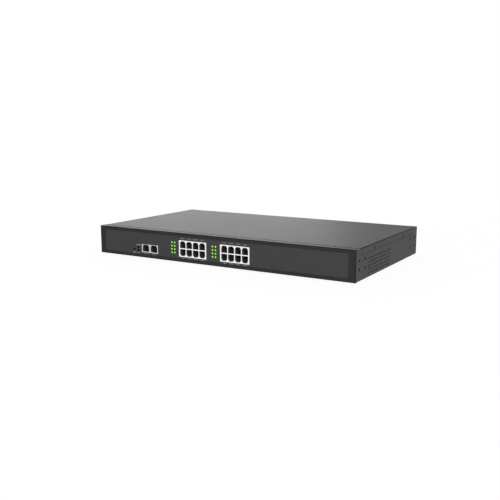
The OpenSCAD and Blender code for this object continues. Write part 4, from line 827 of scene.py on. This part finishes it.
def add_words(shape, words, height, place):
    """Adds short words or numbers as thin flat letters, centred on their place."""
    cap_share = 0.7
    letters = bpy.data.curves.new("letters", "FONT")
    letters.body = words
    letters.size = height/cap_share
    letters.align_x = "CENTER"
    letters.align_y = "CENTER"
    letters.extrude = ink_t/2
    letters.resolution_u = 4
    holder = bpy.data.objects.new("letters", letters)
    outline = holder.to_mesh()
    outline.transform(place @ Matrix.Translation((0, 0, ink_t/2)))
    shape.from_mesh(outline)
    holder.to_mesh_clear()
    bpy.data.objects.remove(holder)
    bpy.data.curves.remove(letters)


def add_bar(shape, width, height, place):
    """Adds a thin flat bar of ink, centred on its place."""
    scale = Matrix.Diagonal((width, height, ink_t, 1.0))
    bmesh.ops.create_cube(shape, matrix=place @ Matrix.Translation((0, 0, ink_t/2)) @ scale)


def add_port_number(shape, number, x, z):
    """Adds a port's number between two ticks."""
    place = facing((x, overlay_y, z), (1, 0, 0), (0, 0, 1))
    add_words(shape, number, number_h, place)
    for side in (-1, 1):
        add_bar(shape, tick_w, tick_h, place @ Matrix.Translation((side*tick_out, 0, 0)))


def close_print(name, shape, material, body):
    """Welds letters and bars into closed outlines and adds them as one printed piece."""
    bmesh.ops.remove_doubles(shape, verts=shape.verts, dist=0.000002)
    add_piece(name, finish_mesh(name, shape, sharp=20), material, body)


overlay_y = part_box("front_overlay")[0].y
mounts = {mount["name"]: Vector(mount["pos_m"]) for mount in frame["record"]["mounts"]}
port_print = bmesh.new()
for port in range(1, line_ports + 1):
    row_z = upper_row_z if port % 2 else lower_row_z
    add_port_number(port_print, str(port), mounts["line_port_%d" % port].x, row_z)
for port in (1, 2):
    add_port_number(port_print, str(port), mounts["network_port_%d" % port].x, network_row_z)
ink = grained_finish("screen_ink", ink_colour, grain=0.0003, relief=0.000005, roughness=0.55,
                     edge_wear_and_shade=1.0)
close_print("port_numbers", port_print, ink, "case")
status_print = bmesh.new()
for words, x, z in (("RESET", reset_x, reset_word_z), ("PWR", status_x, power_word_z),
                    ("SYSTEM", status_x, system_word_z)):
    add_words(status_print, words, number_h, facing((x, overlay_y, z), (1, 0, 0), (0, 0, 1)))
close_print("status_words", status_print, ink, "case")


# Mains inlet
# A three-pin inlet moulded in black thermoplastic, screwed to the rear wall by its flange, with
# nickel-plated brass pins.

inlet_colour = (0.016, 0.016, 0.017)
inlet_plastic = grained_finish("inlet_plastic", inlet_colour, grain=0.0006, relief=0.00005,
                               roughness=0.48, specular=0.4, edge_wear_and_shade=1.8)
dress(inlet_plastic, "mains_inlet")
pin_plate = metal_finish("pin_plate", nickel_colour, roughness=0.22, lines=(1500, 300, 1500))
dress(pin_plate, "inlet_pins", "switch_terminals")
dress(zinc_steel, "inlet_screws")


# Power switch
# A rocker in a snap-in housing, both black. The rocker is a polished moulding with rounded edges and
# the two standing marks for on and off printed in white on its faces.

rocker_colour = (0.012, 0.012, 0.013)
mark_colour = (0.75, 0.75, 0.74)
rocker_r = 0.0084
rocker_w = 0.0104
rocker_face = 0.0015
rocker_back = 0.0038
rocker_edge = 0.0005
mark_h = 0.0034
mark_up = 0.0042
pivot_r = 0.0009
pivot_steps = 24
hinge = next(joint for joint in frame["joints"] if joint["name"] == "power_rock")
pivot = Vector(hinge["pos_m"])
throw = math.radians(hinge["range_deg"][1])
switch_plastic = grained_finish("switch_plastic", inlet_colour, grain=0.0005, relief=0.00004,
                                roughness=0.45, specular=0.4, edge_wear_and_shade=1.8)
dress(switch_plastic, "switch_housing")
valley = Vector((rocker_face, rocker_face*math.tan(throw/2)))
raised_way = Vector((math.sin(throw), -math.cos(throw)))
along = valley.dot(raised_way)
raised_tip = valley + raised_way*(math.sqrt(along**2 - valley.length_squared + rocker_r**2) - along)
pressed_angle = math.degrees(math.acos(rocker_face/rocker_r))
back_angle = 180 - math.degrees(math.acos(rocker_back/rocker_r))
raised_angle = math.degrees(math.atan2(raised_tip.y, raised_tip.x))
rocker_outline = [tuple(valley)]
rocker_outline += arc((0, 0), rocker_r, pressed_angle, back_angle, count=9)
rocker_outline += arc((0, 0), rocker_r, -back_angle, raised_angle, count=13)
rocker = bmesh.new()
ends = []
for x in (pivot.x - rocker_w/2, pivot.x + rocker_w/2):
    ends.append([rocker.verts.new((x, pivot.y + y, pivot.z + z)) for y, z in rocker_outline])
for k in range(len(rocker_outline)):
    n = (k + 1) % len(rocker_outline)
    rocker.faces.new((ends[0][k], ends[0][n], ends[1][n], ends[1][k]))
rocker.faces.new(ends[0])
rocker.faces.new(ends[1])
rims = [edge for edge in rocker.edges if len({round(v.co.x, 6) for v in edge.verts}) == 1]
bmesh.ops.bevel(rocker, geom=rims, offset=rocker_edge, segments=4, profile=0.5, affect="EDGES")
pivot_low, pivot_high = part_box("switch_rocker")
pivot_half = (pivot_high.x - pivot_low.x)/2
pivot_profile = [(0, -pivot_half), (pivot_r, -pivot_half), (pivot_r, pivot_half), (0, pivot_half)]
pivot_place = Matrix.Translation(pivot) @ Matrix.Rotation(math.pi/2, 4, "Y")
add_turned(rocker, pivot_profile, pivot_steps, pivot_place)
rocker_plastic = grained_finish("rocker_plastic", rocker_colour, grain=0.0008, relief=0.000006,
                                roughness=0.22, edge_wear_and_shade=1.6)
rocker_piece = add_piece("rocker_moulding", finish_mesh("rocker_moulding", rocker, sharp=30),
                         rocker_plastic, "rocker")
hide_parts("switch_rocker")
marks = bmesh.new()
pressed_spot = valley + Vector((0, mark_up))
raised_spot = valley + raised_way*mark_up
raised_up = (0, -raised_way.x, -raised_way.y)
for sign, spot, up in (("I", pressed_spot, (0, 0, 1)), ("O", raised_spot, raised_up)):
    origin = (pivot.x, pivot.y + spot.x, pivot.z + spot.y)
    add_words(marks, sign, mark_h, facing(origin, (-1, 0, 0), up))
mark_ink = grained_finish("mark_ink", mark_colour, grain=0.0003, relief=0.000005, roughness=0.5,
                          edge_wear_and_shade=1.0)
close_print("rocker_marks", marks, mark_ink, "rocker")


# Earth screw
# A zinc-plated screw with a washer, for an earth lead, with the earth sign printed on the wall
# above it.

sign_up = 0.0036
stroke = 0.0004
stem = 0.0022
bars = 3
bar_w = 0.0040
bar_less = 0.0013
bar_pitch = 0.0009
dress(zinc_steel, "earth_screw")
earth_low, earth_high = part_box("earth_screw")
wall_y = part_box("chassis_tray")[1].y
earth_sign = bmesh.new()
sign_middle = ((earth_low.x + earth_high.x)/2, wall_y, earth_high.z + sign_up)
sign_place = facing(sign_middle, (-1, 0, 0), (0, 0, 1))
add_bar(earth_sign, stroke, stem, sign_place @ Matrix.Translation((0, stem/2, 0)))
for bar in range(bars):
    drop = Matrix.Translation((0, -bar*bar_pitch, 0))
    add_bar(earth_sign, bar_w - bar*bar_less, stroke, sign_place @ drop)
close_print("earth_sign", earth_sign, mark_ink, "case")


# Wires
# Stranded wires in smooth PVC: brown from the inlet by way of the switch to the power supply, and
# red from the power supply to the main board.

brown_colour = (0.11, 0.045, 0.02)
red_colour = (0.38, 0.025, 0.02)
for name, colour, wires in (("brown_pvc", brown_colour, "mains_wires"),
                            ("red_pvc", red_colour, "dc_wires")):
    dress(grained_finish(name, colour, grain=0.0012, relief=0.00002, roughness=0.35, edge_wear_and_shade=1.2), wires)


# Top cover
# The lid of the case: one steel sheet with flanges folded down along the sides and the rear and a
# short one at the front, coated like the tray, and held by countersunk black screws.

screw_colour = (0.006, 0.006, 0.0065)
# The tray's coat, with painted shade on its folds, edges and hole walls.
dress(case_paint, "top_cover")
black_oxide = metal_finish("black_oxide_steel", screw_colour, roughness=0.5, lines=(1800, 1800, 1800),
                           metallic=0.0, specular=0.1)
dress(black_oxide, "cover_screws")


# Studio
# A white floor without a horizon, lit by a white room and three soft lamps, seen by a camera at the
# front right and a little above the case.

floor_half = 6.0
floor_near = 0.35
floor_far = 0.9
shadow_share = 0.06
floor_colour = 0.9
bounce_colour = 0.3
room_light = 0.55
view_target = Vector((-0.014623, -0.002643, 0.005829))
view_azimuth = math.radians(31.01)
view_elevation = math.radians(10.199)
view_distance = 1.1232
view_lens = 49.93


def seen_rays(tree):
    """1 for rays that show the background: straight, mirrored or through glass."""
    path = shader(tree, "LightPath").outputs
    mirrored = math_node(tree, "MAXIMUM", path["Is Camera Ray"], path["Is Glossy Ray"])
    return math_node(tree, "MAXIMUM", mirrored, path["Is Transmission Ray"])


floor_mesh = bpy.data.meshes.new("studio_floor")
floor_corners = [(x*floor_half, y*floor_half, 0) for x, y in ((-1, -1), (1, -1), (1, 1), (-1, 1))]
floor_mesh.from_pydata(floor_corners, [], [(0, 1, 2, 3)])
floor = bpy.data.objects.new("studio_floor", floor_mesh)
bpy.context.scene.collection.objects.link(floor)
floor_finish = bpy.data.materials.new("studio_floor")
floor_finish.use_nodes = True
tree = floor_finish.node_tree
tree.nodes.clear()
places = shader(tree, "TexCoord").outputs["Object"]
reach = shader(tree, "VectorMath", {0: places}, operation="LENGTH").outputs["Value"]
glow_share = spread(tree, reach, 1 - shadow_share, 1.0, start=floor_near, end=floor_far)
seen = seen_rays(tree)
paper = blend_colours(tree, seen, tint((bounce_colour,)*3), tint((floor_colour,)*3))
matt = shader(tree, "BsdfDiffuse", {"Color": paper}).outputs[0]
glow = shader(tree, "Emission", {"Color": (1.0, 1.0, 1.0, 1.0), "Strength": 1.0}).outputs[0]
share = math_node(tree, "MULTIPLY", seen, glow_share)
mixed = shader(tree, "MixShader", {0: share, 1: matt, 2: glow}).outputs[0]
shader(tree, "OutputMaterial", {"Surface": mixed})
floor_mesh.materials.append(floor_finish)

room = bpy.data.worlds.new("white_room")
room.use_nodes = True
tree = room.node_tree
tree.nodes.clear()
strength = spread(tree, seen_rays(tree), room_light, 1.0)
glow = shader(tree, "Background", {"Color": (1.0, 1.0, 1.0, 1.0), "Strength": strength}).outputs[0]
shader(tree, "OutputWorld", {"Surface": glow})
bpy.context.scene.world = room


def add_lamp(name, place, target, shape, size, power):
    """Adds a soft lamp, square or round, that faces a point."""
    data = bpy.data.lights.new(name, "AREA")
    data.shape = shape
    data.size = size
    data.energy = power
    lamp = bpy.data.objects.new(name, data)
    bpy.context.scene.collection.objects.link(lamp)
    lamp.location = place
    lamp.rotation_euler = (Vector(target) - Vector(place)).to_track_quat("-Z", "Y").to_euler()
    lamp.visible_camera = False


add_lamp("front_softbox", place=(0.3, -1.5, 0.9), target=(0, 0, 0.02), shape="SQUARE",
         size=0.9, power=12.5)
add_lamp("side_softbox", place=(1.5, -0.35, 0.25), target=(0, 0, 0.02), shape="SQUARE",
         size=0.8, power=16.3)
add_lamp("rear_disc", place=(-0.934, 0.669, 0.3), target=(-0.2, 0, 0.04), shape="DISK",
         size=1.6, power=18.7)

lens = bpy.data.cameras.new("camera")
lens.lens = view_lens
lens.sensor_width = 36.0
camera = bpy.data.objects.new("camera", lens)
bpy.context.scene.collection.objects.link(camera)
away = Vector((math.sin(view_azimuth)*math.cos(view_elevation),
               -math.cos(view_azimuth)*math.cos(view_elevation), math.sin(view_elevation)))
camera.location = view_target + away*view_distance
camera.rotation_euler = (-away).to_track_quat("-Z", "Y").to_euler()
bpy.context.scene.camera = camera
bpy.context.scene.view_settings.view_transform = "Standard"
